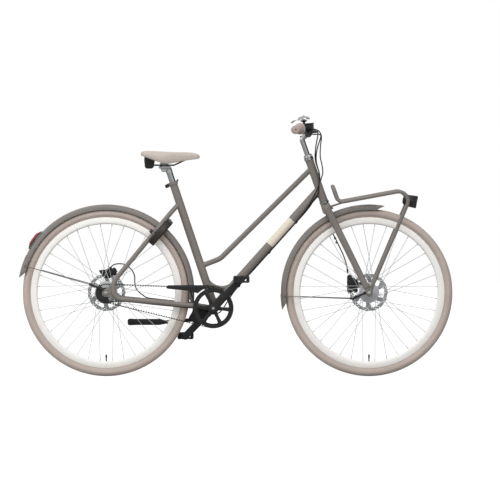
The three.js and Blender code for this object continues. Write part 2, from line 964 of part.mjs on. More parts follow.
function rearHub() {
  const end = rearOverLocknut / 2 - locknutThickness - gap;
  const seat = rearRotorOffset - rotorThickness / 2 - gap;
  const driverSeat = beltLine - beltWidth / 2 - gap;
  const profile = [
    [rearAxleRadius + gap, -end],
    [driverRadius, -end],
    [driverRadius, -driverSeat],
    [rearBarrelRadius - rotorBossShoulder, -driverSeat + rotorBossShoulder],
    ...flangeOutline(rearFlangeRadius, rearFlangeOffset, -1),
    [rearBarrelRadius, -rearFlangeOffset + hubFlangeThickness],
    [rearBarrelRadius, rearFlangeOffset - hubFlangeThickness],
    ...flangeOutline(rearFlangeRadius, rearFlangeOffset, 1),
    [rotorBossRadius + rotorBossShoulder, rearFlangeOffset + hubFlangeThickness],
    [rotorBossRadius + rotorBossShoulder, seat],
    [rotorBossRadius, seat],
    [rotorBossRadius, rearRotorOffset + rotorBossShoulder],
    [hubEndRadius, end],
    [rearAxleRadius + gap, end],
  ];
  const shell = turned(profile, 16);
  const wires = spokes(rearFlangeRadius, rearFlangeOffset, rearSpokePhase);
  return mesh('rear_hub', joined([shell, ...wires]), silver, 0.35, 0.8);
}

// A brake disc: a waved track, slanted arms and a ring that seats on the hub's boss.
function rotor(name, offset) {
  const rimPoints = [];
  for (let i = 0; i < rotorWaves * 2; i += 1) {
    const radius = rotorRadius - (i % 2) * rotorWaveDepth;
    const angle = i * Math.PI / rotorWaves;
    rimPoints.push(V2(radius * Math.cos(angle), radius * Math.sin(angle)));
  }
  const inner = rotorBossRadius + gap + rotorHubRing;
  const outer = rotorRadius - rotorTrackDepth;
  const holes = [boreCircle(rotorBossRadius, 16)];
  const pitch = 2 * Math.PI / rotorArms;
  const lean = pitch * rotorLeanShare;
  for (let i = 0; i < rotorArms; i += 1) {
    const window = [];
    for (const [radius, shift, way] of [[outer, lean, 1], [inner, 0, -1]]) {
      for (let k = 0; k <= 3; k += 1) {
        const share = way > 0 ? k / 3 : 1 - k / 3;
        const angle = i * pitch + shift + pitch * (rotorArmShare + (1 - rotorArmShare) * share);
        window.push(V2(radius * Math.cos(angle), radius * Math.sin(angle)));
      }
    }
    holes.push(window);
  }
  return mesh(name, sidePlate(outline(rimPoints, holes), offset, rotorThickness), discSteel, 0.3, 0.9);
}

// An axle with its locknuts inside the ends and its nuts outside them.
function axle(name, radius, overLocknut, endThickness) {
  const face = overLocknut / 2;
  const outside = face + endThickness + gap;
  const nut = outside + radius * axleNutShare;
  const tip = nut + radius;
  const profile = mirroredOutline([
    [0, tip],
    [radius, tip],
    [radius, nut],
    [locknutRadius, nut],
    [locknutRadius, outside],
    [radius, outside],
    [radius, face - gap],
    [locknutRadius, face - gap],
    [locknutRadius, face - locknutThickness],
    [radius, face - locknutThickness],
  ]);
  return mesh(name, turned(profile, axleSteps), silver, 0.35, 0.9);
}

// Belt drive

// A point of the belt's loop, at a length along its pitch line and a depth inside it.
function beltPoint(along, depth) {
  const lean = Math.asin((ringPitchRadius - sprocketPitchRadius) / centres);
  const heading = Math.atan2(shellCentre.z - rearAxle.z, shellCentre.x - rearAxle.x);
  const run = centres * Math.cos(lean);
  const ringArc = ringPitchRadius * (Math.PI + 2 * lean);
  const sprocketArc = sprocketPitchRadius * (Math.PI - 2 * lean);
  const upper = heading + Math.PI / 2 + lean;
  const lower = heading - Math.PI / 2 - lean;
  const whole = 2 * run + ringArc + sprocketArc;
  let rest = (along % whole + whole) % whole;
  const onCircle = (centre, radius, angle) => V2(
    centre.x + (radius - depth) * Math.cos(angle),
    centre.z + (radius - depth) * Math.sin(angle),
  );
  if (rest <= ringArc) return onCircle(shellCentre, ringPitchRadius, upper - rest / ringPitchRadius);
  rest -= ringArc;
  const lowerStart = onCircle(shellCentre, ringPitchRadius, lower);
  const lowerEnd = onCircle(rearAxle, sprocketPitchRadius, lower);
  if (rest <= run) return lowerStart.lerp(lowerEnd, rest / run);
  rest -= run;
  if (rest <= sprocketArc) return onCircle(rearAxle, sprocketPitchRadius, lower - rest / sprocketPitchRadius);
  rest -= sprocketArc;
  const upperStart = onCircle(rearAxle, sprocketPitchRadius, upper);
  return upperStart.lerp(onCircle(shellCentre, ringPitchRadius, upper), rest / run);
}

function driveBelt() {
  const inside = [];
  const outside = [];
  for (let i = 0; i < beltTeeth; i += 1) {
    const middle = i * beltPitch;
    inside.push(beltPoint(middle - beltToothBase / 2, beltBackInner));
    inside.push(beltPoint(middle - beltToothTip / 2, beltBackInner + beltToothDepth));
    inside.push(beltPoint(middle + beltToothTip / 2, beltBackInner + beltToothDepth));
    inside.push(beltPoint(middle + beltToothBase / 2, beltBackInner));
    outside.push(beltPoint(middle, -beltBackOuter));
  }
  const loop = sidePlate(outline(withoutStraights(outside), [inside]), -beltLine, beltWidth);
  return mesh('drive_belt', loop, rubberBlack, 0.7);
}

// The teeth of a pulley, which fill the spaces between the belt's teeth less the clearance.
function pulleyOutline(teeth, pitchRadius, firstAngle) {
  const points = [];
  const tip = pitchRadius - beltBackInner - gap;
  const root = tip - beltToothDepth;
  const step = 2 * Math.PI / teeth;
  const tipHalf = (beltPitch / 2 - beltToothBase / 2 - pulleyPlay) / pitchRadius;
  const rootHalf = (beltPitch / 2 - beltToothTip / 2 - pulleyPlay) / pitchRadius;
  for (let i = 0; i < teeth; i += 1) {
    const middle = firstAngle + (i + 0.5) * step;
    for (const [radius, angle] of [[root, -rootHalf], [tip, -tipHalf], [tip, tipHalf], [root, rootHalf]]) {
      points.push(V2(radius * Math.cos(middle + angle), radius * Math.sin(middle + angle)));
    }
  }
  return points;
}

// The angle at which a belt tooth sits in each pulley at rest.
function toothAngles() {
  const lean = Math.asin((ringPitchRadius - sprocketPitchRadius) / centres);
  const heading = Math.atan2(shellCentre.z - rearAxle.z, shellCentre.x - rearAxle.x);
  const beforeSprocket = ringPitchRadius * (Math.PI + 2 * lean) + centres * Math.cos(lean);
  return {
    ring: heading + Math.PI / 2 + lean,
    sprocket: heading - Math.PI / 2 - lean + beforeSprocket / sprocketPitchRadius,
  };
}

function beltRing() {
  const root = ringPitchRadius - beltBackInner - gap - beltToothDepth;
  const inner = root - ringRimDepth;
  const teeth = pulleyOutline(ringTeeth, ringPitchRadius, toothAngles().ring);
  const band = sidePlate(outline(teeth, [circle(inner, 24)]), -beltLine, beltWidth);
  const flange = sidePlate(
    outline(circle(inner + ringRimDepth / 2, 24), [circle(inner - ringFlangeDepth, 24)]),
    -beltLine,
    ringFlangeThickness,
  );
  return mesh('belt_ring', band.add(flange), blackMetal, 0.45, 0.4);
}

function rearSprocket() {
  const teeth = pulleyOutline(sprocketTeeth, sprocketPitchRadius, toothAngles().sprocket);
  const bore = boreCircle(driverRadius, 16);
  const wide = sidePlate(outline(teeth, [bore]), -beltLine, beltWidth);
  return mesh('rear_sprocket', wide, silver, 0.4, 0.8);
}

// Cranks and pedals, drawn with the arm along +X and turned to its angle afterwards.

function armOutline() {
  const lean = Math.asin((crankHubRadius - crankEndRadius) / crankLength);
  const points = [];
  for (let i = 0; i <= 8; i += 1) {
    const angle = Math.PI / 2 - lean + (Math.PI + 2 * lean) * i / 8;
    points.push(V2(crankHubRadius * Math.cos(angle), crankHubRadius * Math.sin(angle)));
  }
  for (let i = 0; i <= 6; i += 1) {
    const angle = -Math.PI / 2 + lean + (Math.PI - 2 * lean) * i / 6;
    points.push(V2(crankLength + crankEndRadius * Math.cos(angle), crankEndRadius * Math.sin(angle)));
  }
  return points;
}

function crankArm(side) {
  const middle = side * (crankInner + crankThickness / 2);
  const arm = sidePlate(outline(armOutline()), middle, crankThickness, crankBevel);
  const inner = crankInner + crankThickness;
  const axleEnd = inner + pedalWidth + pedalEndPlate / 2;
  const pedalAxle = rod(
    V(crankLength, side * (inner - overrun), 0),
    V(crankLength, side * axleEnd, 0),
    pedalAxleRadius,
    10,
  );
  return arm.add(pedalAxle);
}

function crankRight() {
  const reach = ringPitchRadius - beltBackInner - gap - beltToothDepth - ringRimDepth - 2 * gap;
  const face = beltLine + ringFlangeThickness / 2 + gap;
  const arms = [];
  for (let i = 0; i < spiderArms; i += 1) {
    const angle = (spiderTurn - crankAngle + i * 360 / spiderArms) * degree;
    const across = spiderArmWidth / 2;
    const blade = outline([
      V2(0, -across),
      V2(reach - spiderTipDepth, -across * spiderTipShare),
      V2(reach, 0),
      V2(reach - spiderTipDepth, across * spiderTipShare),
      V2(0, across),
    ].map((point) => point.rotateAround(V2(0, 0), angle)));
    arms.push(sidePlate(blade, -face - spiderThickness / 2, spiderThickness));
  }
  const boss = rod(
    V(0, -shellWidth / 2 - overrun, 0),
    V(0, -crankInner - overrun, 0),
    crankHubRadius,
    16,
  );
  const bore = rod(
    V(0, -shellWidth / 2, 0),
    V(0, -crankInner - crankThickness - overrun, 0),
    spindleRadius + gap,
    16,
  );
  const whole = joined([crankArm(-1), boss, ...arms]).subtract(bore);
  return mesh('crank_right', whole, blackMetal, 0.45, 0.4);
}

function crankLeft() {
  const spindle = rod(
    V(0, crankInner + overrun, 0),
    V(0, -crankInner - crankThickness, 0),
    spindleRadius,
    16,
  );
  return mesh('crank_left', crankArm(1).add(spindle), blackMetal, 0.45, 0.4);
}

// A pedal: two bars, two end plates with open eyes, and a sleeve on the axle.
function pedal(name, side) {
  const start = crankInner + crankThickness + pedalClearance;
  const middle = side * (start + pedalWidth / 2);
  const halfLength = pedalLength / 2;
  const halfThick = pedalThickness / 2;
  const chamfer = pedalThickness / 4;
  const block = outline([
    V2(-halfLength, -halfThick + chamfer), V2(-halfLength + chamfer, -halfThick),
    V2(halfLength - chamfer, -halfThick), V2(halfLength, -halfThick + chamfer),
    V2(halfLength, halfThick - chamfer), V2(halfLength - chamfer, halfThick),
    V2(-halfLength + chamfer, halfThick), V2(-halfLength, halfThick - chamfer),
  ]);
  const bore = rod(
    V(0, side * (start - overrun), 0),
    V(0, side * (start + pedalWidth + overrun), 0),
    clearRadius(pedalAxleRadius, 10),
    10,
  );
  const cutters = [bore];
  for (const way of [-1, 1]) {
    const eye = way * (halfLength - pedalBarDepth / 2 - pedalEyeWidth / 2);
    cutters.push(box(
      V(way * pedalSleeveRadius, side * (start + pedalEndPlate), -halfThick - overrun),
      V(way * (halfLength - pedalBarDepth), side * (start + pedalWidth - pedalEndPlate), halfThick + overrun),
    ));
    cutters.push(box(
      V(eye - pedalEyeWidth / 2, side * (start - overrun), -pedalEyeWidth / 2),
      V(eye + pedalEyeWidth / 2, side * (start + pedalWidth + overrun), pedalEyeWidth / 2),
    ));
  }
  return mesh(name, cut(sidePlate(block, middle, pedalWidth), cutters), blackPlastic, 0.6);
}

function bottomBracket() {
  const half = shellWidth / 2;
  const profile = mirroredOutline([
    [spindleRadius + gap, half + bracketLip],
    [shellRadius - gap, half + bracketLip],
    [shellRadius - gap, half + gap],
    [shellBore - gap, half + gap],
  ]);
  return mesh('bottom_bracket', turned(profile, 16), blackMetal, 0.5, 0.4);
}

// Frame

// The step-through frame: head, down, top and seat tubes, the shell and the curved gusset tube.
function frameSolids() {
  const headTube = rod(
    steerPoint(0, headTubeStart),
    steerPoint(0, headTubeStart + headTubeLength),
    headTubeRadius,
    20,
  );
  const downTube = rod(shellCentre, downTubeHead, downTubeRadius, 16);
  const seatTube = rod(seatPoint(0), seatPoint(seatTubeLength), seatTubeRadius, 16);
  const shell = rod(V(0, -shellWidth / 2, shellHeight), V(0, shellWidth / 2, shellHeight), shellRadius, 20);
  const foot = seatPoint(topTubeSeatHeight);
  const footRun = V(Math.cos(topTubeFootAngle * degree), 0, Math.sin(topTubeFootAngle * degree));
  const topTube = bentTube([
    foot,
    foot.clone().addScaledVector(footRun, topTubeFootLength),
    steerPoint(0, headTubeStart + headTubeLength - topTubeHeadDrop),
  ], topTubeRadius, topTubeBendRadius);
  const bores = [
    rod(
      steerPoint(0, headTubeStart - overrun),
      steerPoint(0, headTubeStart + headTubeLength + overrun),
      headTubeBore,
      20,
    ),
    rod(
      seatPoint(seatTubeLength - seatpostInsert - seatpostTravel - gap),
      seatPoint(seatTubeLength + overrun),
      seatpostRadius + gap,
      16,
    ),
    rod(V(0, -shellWidth, shellHeight), V(0, shellWidth, shellHeight), shellBore, 20),
  ];
  return { tubes: [headTube, downTube, seatTube, shell, topTube, gusset()], bores };
}

// The curved tube that joins the seat tube to the down tube above the shell.
function gusset() {
  const inner = gussetRadius - gussetTubeRadius - gussetBury;
  const seatSide = V(Math.sin(seatAngle * degree), 0, Math.cos(seatAngle * degree));
  const seatBase = seatOrigin.clone().addScaledVector(seatSide, seatTubeRadius + inner);
  const downBase = shellCentre.clone().addScaledVector(downTubeUpper, downTubeRadius + inner);
  const across = seatUp.x * downTubeRun.z - seatUp.z * downTubeRun.x;
  const between = downBase.clone().sub(seatBase);
  const along = (between.x * downTubeRun.z - between.z * downTubeRun.x) / across;
  const centre = seatBase.clone().addScaledVector(seatUp, along);
  const start = 90 + seatAngle - gussetSeatOverlap;
  const path = arcPath(centre, gussetRadius, start, gussetEnd, gussetSteps);
  return sweep(path, circle(gussetTubeRadius, tubeSides));
}

function mainFrame() {
  const { tubes, bores } = frameSolids();
  return mesh('main_frame', cut(joined(tubes), bores), frameGrey, 0.55, 0.1);
}

// What the stays keep clear of where they meet the frame.
function stayClearance() {
  const bracketReach = shellWidth / 2 + bracketLip + gap;
  return [
    rod(seatPoint(0), seatPoint(seatTubeLength), seatTubeRadius + gap, 16),
    rod(V(0, -bracketReach, shellHeight), V(0, bracketReach, shellHeight), shellRadius + gap, 20),
  ];
}

// One side's seat stay and chain stay, bent from a single tube around its dropout.
function stayPath(side) {
  const outer = side * (rearOverLocknut / 2 + dropoutThickness);
  const upright = rearAxle.x + stayUprightLead;
  const top = seatPoint(seatTubeLength - stayTopDrop, side * stayTopSpread);
  top.x -= stayTopSetback;
  return [
    top,
    V(upright, outer, rearAxle.z + stayUpperHeight),
    V(upright, outer, rearAxle.z - stayLowerDrop),
    V(-stayFrontLead - stayFrontSpread, side * stayFrontSpread, shellHeight + shellRadius / 2),
    V(-stayFrontLead, side * stayFrontSpread, shellHeight + shellRadius / 3),
    V(-shellRadius / 2, side * stayShellSpread, shellHeight),
  ];
}

function stayTube(side, room = 0) {
  const bends = [stayUpperBend, stayLowerBend, stayFrontBend, stayFrontBend];
  return bentTube(stayPath(side), stayRadius + room, bends, tubeSides, staySteps);
}

function dropout(side) {
  const reach = stayUprightLead;
  const points = [V2(reach, dropoutTopRise), V2(reach, -dropoutBottomDrop)];
  points.push(...arcPoints(dropoutRadius, dropoutArcStart, dropoutArcStart - dropoutArcSweep, dropoutSteps));
  const plate = outline(points, [circle(rearAxleRadius + gap, 12)]);
  const middle = side * (rearOverLocknut / 2 + dropoutThickness / 2);
  return sidePlate(plate, middle, dropoutThickness).translate([rearAxle.x, 0, rearAxle.z]);
}

// The kickstand's hinge: where it is, which way it points, and how far each side reaches.
const standPivot = V(-standPivotBack, standOffset, shellHeight - standPivotDrop);
const standHinge = V(Math.sin(standAxisTurn * degree), -Math.cos(standAxisTurn * degree), 0);

function alongHinge(distance) {
  return standPivot.clone().addScaledVector(standHinge, distance);
}

function standBracket() {
  const half = standKnuckleWidth / 2 + gap;
  const boss = turnedAlong([
    [0, half],
    [standKnuckleRadius, half],
    [standKnuckleRadius, half + standBossLength],
    [0, half + standBossLength],
  ], standPivot, alongHinge(half));
  const pin = turnedAlong([
    [0, half + standBossLength / 2], [standPinRadius, half + standBossLength / 2], [standPinRadius, -half],
    [standPinHeadRadius, -half], [standPinHeadRadius, -half - standPinHead], [0, -half - standPinHead],
  ], standPivot, alongHinge(half));
  const strut = box(
    V(-standStrutRadius, -half - standBossLength, 0),
    V(standStrutRadius, -half, standPivotDrop),
  ).rotate([0, 0, standAxisTurn]).translate([standPivot.x, standPivot.y, standPivot.z]);
  return joined([boss, pin, strut]);
}

function stay(name, side) {
  const pieces = [stayTube(side), dropout(side)];
  if (side > 0) pieces.push(standBracket());
  return mesh(name, cut(joined(pieces), stayClearance()), frameGrey, 0.55, 0.1);
}

function kickstand() {
  const half = standKnuckleWidth / 2;
  const knuckle = turnedAlong([
    [standPinRadius + gap, -half],
    [standKnuckleRadius, -half],
    [standKnuckleRadius, half],
    [standPinRadius + gap, half],
  ], V(0, 0, 0), standHinge);
  const leg = rod(V(-standKnuckleRadius * standRootShare, 0, 0), V(-standReach, 0, 0), standLegRadius, 10);
  const bore = turnedAlong([
    [0, -half - overrun], [standPinRadius + gap, -half - overrun], [standPinRadius + gap, half + overrun],
    [0, half + overrun],
  ], V(0, 0, 0), standHinge);
  const sleeve = turnedAlong([
    [0, 0],
    [standLegRadius, 0],
    [standFootRadius, standFootRadius / 2],
    [standFootRadius, standFootLength - standFootRadius],
    [standLegRadius, standFootLength],
    [0, standFootLength],
  ], V(-standReach + standFootLength, 0, 0), V(-standReach, 0, 0), 12);
  const whole = joined([knuckle, leg, sleeve]).subtract(bore);
  return group(standPivot, 0, [mesh('kickstand', whole, blackPlastic, 0.6)]);
}

// Headset cups, measured on the steering grid.
function headsetCups() {
  const bore = steererRadius + gap;
  const low = headTubeStart - lowerCupHeight;
  const high = headTubeStart + headTubeLength;
  const lower = turnedAlong([
    [bore, low + gap], [cupNeckRadius + crownRaceWidth, low + gap], [cupRadius, low + lowerCupHeight / 2],
    [cupRadius, headTubeStart - gap], [bore, headTubeStart - gap],
  ], V(0, 0, 0), V(0, 0, 1), 16);
  const upper = turnedAlong([
    [bore, high + gap], [cupRadius, high + gap], [cupRadius, high + lowerCupHeight],
    [cupNeckRadius + crownRaceWidth, high + lowerCupHeight + crownRaceWidth],
    [cupNeckRadius + crownRaceWidth, high + upperCupHeight], [bore, high + upperCupHeight],
  ], V(0, 0, 0), V(0, 0, 1), 16);
  return group(steerOrigin, steerTurn, [
    mesh('headset_cup_lower', lower, blackMetal, 0.4, 0.6),
    mesh('headset_cup_upper', upper, blackMetal, 0.4, 0.6),
  ]);
}

// Fork

// A rod of oval section: deep fore and aft, narrower from side to side.
function ovalRod(from, to, depth, width, endShare) {
  const run = to.clone().sub(from);
  const geometry = new THREE.CylinderGeometry(endShare, 1, run.length(), 14);
  geometry.scale(depth / 2, 1, width / 2);
  const along = run.clone().normalize();
  const side = V(0, 1, 0).addScaledVector(along, -along.y).normalize();
  const front = along.clone().cross(side);
  const turn = new THREE.Matrix4().makeBasis(front, along, side);
  geometry.applyMatrix4(turn.setPosition(from.clone().add(to).multiplyScalar(0.5)));
  return solid(geometry);
}

function fork() {
  const crownTop = headTubeStart - lowerCupHeight;
  const crownBase = crownTop - crownHeight;
  const crownOutline = outline([
    V2(-crownHalfWidth - forkLegWidth / 2, crownBase),
    V2(-crownHalfWidth + forkLegWidth / 2, crownBase - forkLegWidth / 2),
    V2(-fenderWidth / 2 - crownFenderSpace, crownBase),
    V2(fenderWidth / 2 + crownFenderSpace, crownBase),
    V2(crownHalfWidth - forkLegWidth / 2, crownBase - forkLegWidth / 2),
    V2(crownHalfWidth + forkLegWidth / 2, crownBase),
    V2(crownHalfWidth + forkLegWidth / 2, crownBase + crownHeight * crownShoulderShare),
    V2(cupRadius, crownTop),
    V2(-cupRadius, crownTop),
    V2(-crownHalfWidth - forkLegWidth / 2, crownBase + crownHeight * crownShoulderShare),
  ]);
  const crown = sidePlate(crownOutline, 0, crownDepth, crownBevel).rotate([0, 0, 90]);
  const steerer = rod(V(0, 0, crownTop - crownHeight / 2), V(0, 0, steererTop), steererRadius, 20);
  const bore = rod(V(0, 0, crownTop - crownHeight / 2), V(0, 0, steererTop + overrun), steererBore, 20);
  const pieces = [crown, steerer];
  for (const side of [-1, 1]) {
    const foot = V(forkOffset - forkLegEndLead, side * forkLegSpread, forkLegEndLift);
    pieces.push(ovalRod(
      V(forkLegTopLead, side * crownHalfWidth, forkLegTop),
      foot,
      forkLegDepth,
      forkLegWidth,
      forkLegTaperShare,
    ));
    const end = outline([
      ...arcPoints(forkEndRadius, forkEndArcStart, forkEndArcEnd, forkEndSteps),
      V2(forkEndRadius * forkEndNeckShare, forkLegEndLift + forkEndRadius),
      V2(-forkEndRadius * forkEndNeckShare, forkLegEndLift + forkEndRadius),
    ], [circle(frontAxleRadius + gap, 12)]);
    const middle = side * (frontOverLocknut / 2 + forkEndThickness / 2);
    pieces.push(sidePlate(end, middle, forkEndThickness).translate([forkOffset, 0, 0]));
  }
  const clip = box(
    V(hoseClipLead - hoseClipSize, hoseClipSpread - hoseClipSize / 2, hoseClipHeight - hoseClipSize / 2),
    V(hoseClipLead + 2 * hoseClipSize, hoseClipSpread + hoseClipSize / 2, hoseClipHeight + hoseClipSize / 2),
  );
  const hoseRoom = cable(frontHosePoints(), clearRadius(hoseRadius, 6), 1);
  return mesh('fork', cut(joined([...pieces, clip]), [bore, hoseRoom]), frameGrey, 0.5, 0.1);
}

// Stem and handlebar

const barCentre = V(barLead, 0, barHeight);

function quillStem() {
  const quill = rod(V(0, 0, quillBase), V(0, 0, barHeight), quillRadius, 16);
  const cap = rod(V(0, 0, barHeight - stemCapHeight), V(0, 0, barHeight + gap), quillRadius + stemCapLip, 16);
  const extension = rod(V(0, 0, barHeight - barRadius), barCentre, barRadius + stemCapLip, 14);
  const clamp = rod(V(barLead, -barClampWidth / 2, barHeight), V(barLead, barClampWidth / 2, barHeight),
    barClampRadius, 20);
  const ear = box(
    V(barLead + barRadius, -barClampWidth / 4, barHeight - barClampRadius - stemCapLip),
    V(barLead + barClampRadius + stemCapLip, barClampWidth / 4, barHeight - barRadius / 2),
  );
  const bore = rod(
    V(barLead, -barClampWidth, barHeight),
    V(barLead, barClampWidth, barHeight),
    clearRadius(barRadius, 16),
    16,
  );
  return mesh('quill_stem', joined([quill, cap, extension, clamp, ear]).subtract(bore), silver, 0.3, 0.9);
}

// The bar's corners on one side, from the stem outwards.
const barInnerBend = V(barLead, barCentreFlat, barHeight);
const barOuterBend = V(gripInnerLead, gripInnerSpread, gripInnerHeight);
const barTip = V(gripEndLead, barEndSpread, gripEndHeight);
const gripWay = barTip.clone().sub(barOuterBend).normalize();

function onSide(point, side) {
  return V(point.x, point.y * side, point.z);
}

function handlebar() {
  const half = [barTip, barOuterBend, barInnerBend];
  const corners = [...half, ...half.map((point) => onSide(point, -1)).reverse()];
  const whole = bentTube(corners, barRadius, barBendRadius, 10, 3);
  return mesh('handlebar', whole, blackMetal, 0.4, 0.5);
}

// A point on the grip's axis, measured inwards from the bar's tip.
function gripPoint(inward, side) {
  return onSide(barTip.clone().addScaledVector(gripWay, -inward), side);
}

function grip(name, side, length) {
  const bore = barRadius + gap;
  const body = turnedAlong([
    [0, -gripWall], [gripRadius - gripWall / 2, -gripWall], [gripRadius, 0],
    [gripRadius - gripWaist, length * gripWaistShare], [gripRadius, length - gripWall],
    [gripRadius + gripWaist, length - gripWall], [gripRadius + gripWaist, length],
    [bore, length], [bore, -gap], [0, -gap],
  ], gripPoint(0, side), gripPoint(length, side), 14);
  return mesh(name, body, gripBeige, 0.75);
}

function shiftGrip() {
  const bore = barRadius + gap;
  const start = rightGripLength + 2 * gap;
  const profile = [[bore, start]];
  for (let i = 0; i <= shifterRibs * 2; i += 1) {
    const share = i / (shifterRibs * 2);
    const radius = i % 2 ? shifterRadius : shifterRadius - gripWaist;
    profile.push([radius, start + shifterLength * share]);
  }
  profile.push([bore, start + shifterLength]);
  const body = turnedAlong(profile, gripPoint(0, -1), gripPoint(start, -1), 16);
  return mesh('shift_grip', body, gripBeige, 0.75);
}

// Hydraulic brake levers. The grid's X points from the bar towards the lever's blade.
const brakePlace = (side) => gripPoint(brakeInset, side);

function brakeGrid(side) {
  const along = V(side * gripWay.x, gripWay.y, side * gripWay.z);
  const front = V(Math.cos(brakeTurn * degree), 0, -Math.sin(brakeTurn * degree));
  front.addScaledVector(along, -front.dot(along)).normalize();
  return new THREE.Quaternion().setFromRotationMatrix(
    new THREE.Matrix4().makeBasis(front, along, front.clone().cross(along)),
  );
}

function brakeBody(name, side) {
  const clampHalf = brakeClampWidth / 2;
  const ring = rod(V(0, -clampHalf, 0), V(0, clampHalf, 0), barRadius + gap + brakeClampWall, 16);
  const neck = box(V(barRadius, -clampHalf, -brakeNeckHalf), V(brakeReach, clampHalf, brakeNeckHalf));
  const cylinder = turnedAlong([
    [0, -brakeCylinderLength * brakeHoseNutShare],
    [brakeHoseNutRadius, -brakeCylinderLength * brakeHoseNutShare],
    [brakeHoseNutRadius, -brakeCylinderLength / 2],
    [brakeCylinderRadius, -brakeCylinderLength * brakeBarrelStartShare],
    [brakeCylinderRadius, brakeCylinderLength * brakeBarrelEndShare],
    [brakeHoseNutRadius, brakeCylinderLength / 2],
    [0, brakeCylinderLength / 2],
  ], V(brakeReach, 0, 0), V(brakeReach, side, 0), 14);
  const tank = box(
    V(brakeReach - brakeCylinderRadius, -brakeCylinderLength / 3, 0),
    V(brakeReach + brakeCylinderRadius, brakeCylinderLength / 3, brakeCylinderRadius + brakeTankRise),
  );
  const forks = [-1, 1].map((way) => box(
    V(brakeReach, side * brakeCylinderLength * leverForkShare, way * (leverHalfHeight + gap)),
    V(leverPivotReach + leverEyeRadius, side * (leverPivotSpread + leverEyeRadius),
      way * (leverHalfHeight + gap + leverForkWall)),
  ));
  const pin = rod(
    V(leverPivotReach, side * leverPivotSpread, -leverHalfHeight - leverForkWall),
    V(leverPivotReach, side * leverPivotSpread, leverHalfHeight + leverForkWall),
    leverPinRadius,
    10,
  );
  const bore = rod(V(0, -brakeClampWidth, 0), V(0, brakeClampWidth, 0), clearRadius(barRadius, 16), 16);
  const room = rod(
    V(leverPivotReach, side * leverPivotSpread, -leverHalfHeight - gap),
    V(leverPivotReach, side * leverPivotSpread, leverHalfHeight + gap),
    leverEyeRadius + leverRoom,
    16,
  );
  const whole = joined([ring, neck, cylinder, tank]).subtract(room);
  return mesh(name, joined([whole, ...forks, pin]).subtract(bore), blackMetal, 0.45, 0.4);
}

function brakeLever(name, side) {
  const path = leverShares.map(([bow, along]) => V2(
    leverPivotReach + leverBow * bow,
    leverPivotSpread + leverLength * along,
  ));
  const root = leverThickness * leverRootShare;
  const front = path.map((point, i) => V2(point.x + (i ? leverThickness : root), side * point.y));
  const back = path.map((point, i) => V2(point.x - (i ? 0 : root), side * point.y)).reverse();
  const geometry = new THREE.ExtrudeGeometry(new THREE.Shape([...front, ...back]), {
    depth: 2 * leverHalfHeight,
    bevelEnabled: false,
  });
  geometry.translate(0, 0, -leverHalfHeight);
  const eye = rod(
    V(leverPivotReach, side * leverPivotSpread, -leverHalfHeight),
    V(leverPivotReach, side * leverPivotSpread, leverHalfHeight),
    leverEyeRadius,
    14,
  );
  const bore = rod(
    V(leverPivotReach, side * leverPivotSpread, -leverHalfHeight - overrun),
    V(leverPivotReach, side * leverPivotSpread, leverHalfHeight + overrun),
    leverPinRadius + gap,
    10,
  );
  return mesh(name, joined([solid(geometry), eye]).subtract(bore), blackMetal, 0.4, 0.5);
}

// Bell: a dome on a base that clamps the bar, with a sprung thumb lever under the dome's edge.
function bellParts() {
  const lower = turnedAlong([
    [0, -bellStemLength], [bellStemRadius, -bellStemLength], [bellStemRadius, 0],
    [bellBaseRadius, 0], [bellBaseRadius, bellBaseHeight], [0, bellBaseHeight],
  ], V(0, 0, 0), V(0, 0, 1), 16);
  const edge = bellBaseHeight + bellLeverHeight;
  const dome = turnedAlong([
    [0, edge + 2 * gap],
    [bellRadius - bellWall, edge + 2 * gap],
    [bellRadius, edge + 2 * gap],
    ...bellDomeShares.map(([width, height]) => [bellRadius * width, edge + bellDome * height]),
    [bellKnobRadius, edge + bellDome],
    [bellKnobRadius, edge + bellDome + bellKnobHeight],
    [0, edge + bellDome + bellKnobHeight],
  ], V(0, 0, 0), V(0, 0, 1), 16);
  const post = rod(
    V(0, 0, bellBaseHeight - bellWall),
    V(0, 0, edge + bellDome / 2),
    bellPostRadius,
    12,
  );
  const lever = new THREE.ExtrudeGeometry(outline([
    V2(-bellRadius - bellThumbReach, -bellThumbWidth / 2),
    V2(-bellPostRadius, -bellThumbWidth),
    V2(bellThumbWidth, -bellThumbWidth),
    V2(bellThumbWidth, bellThumbWidth),
    V2(-bellPostRadius, bellThumbWidth),
    V2(-bellRadius - bellThumbReach, bellThumbWidth / 2),
  ], [circle(bellPostRadius + gap, 12)]), { depth: bellLeverHeight, bevelEnabled: false });
  lever.translate(0, 0, bellBaseHeight + gap);
  const thumb = box(
    V(-bellRadius - bellThumbReach, -bellThumbWidth / 2, bellBaseHeight + gap),
    V(-bellRadius - bellThumbReach / 2, bellThumbWidth / 2, bellBaseHeight + bellLeverHeight + bellDome / 2),
  );
  return { lower, dome, post, lever: joined([solid(lever), thumb]) };
}

function bell() {
  const { lower, dome, post, lever } = bellParts();
  const room = box(
    V(-bellRadius - bellWall, -bellRadius - bellWall, bellBaseHeight),
    V(bellRadius + bellWall, bellRadius + bellWall, bellBaseHeight + bellLeverHeight + 2 * gap),
  );
  const top = joined([joined([lower, dome]).subtract(room), post]).translate([0, 0, bellStemLength])
    .rotate([0, bellTilt, 0]);
  const place = barOuterBend.clone().lerp(barInnerBend, bellPlaceShare);
  const way = barOuterBend.clone().sub(barInnerBend).normalize().multiplyScalar(bellClampWidth);
  const end = way.clone().divideScalar(2);
  const clamp = rod(end.clone().negate(), end, barRadius + gap + brakeClampWall, 14);
  const bar = rod(way.clone().negate(), way, clearRadius(barRadius, 12), 12);
  const body = joined([top, clamp]).subtract(bar).translate([place.x, place.y, place.z]);
  const arm = mesh('bell_lever', lever.translate([0, 0, bellStemLength]), blackPlastic, 0.5);
  return [mesh('bell', body, blackMetal, 0.25, 0.5), group(place, bellTilt * degree, [arm])];
}

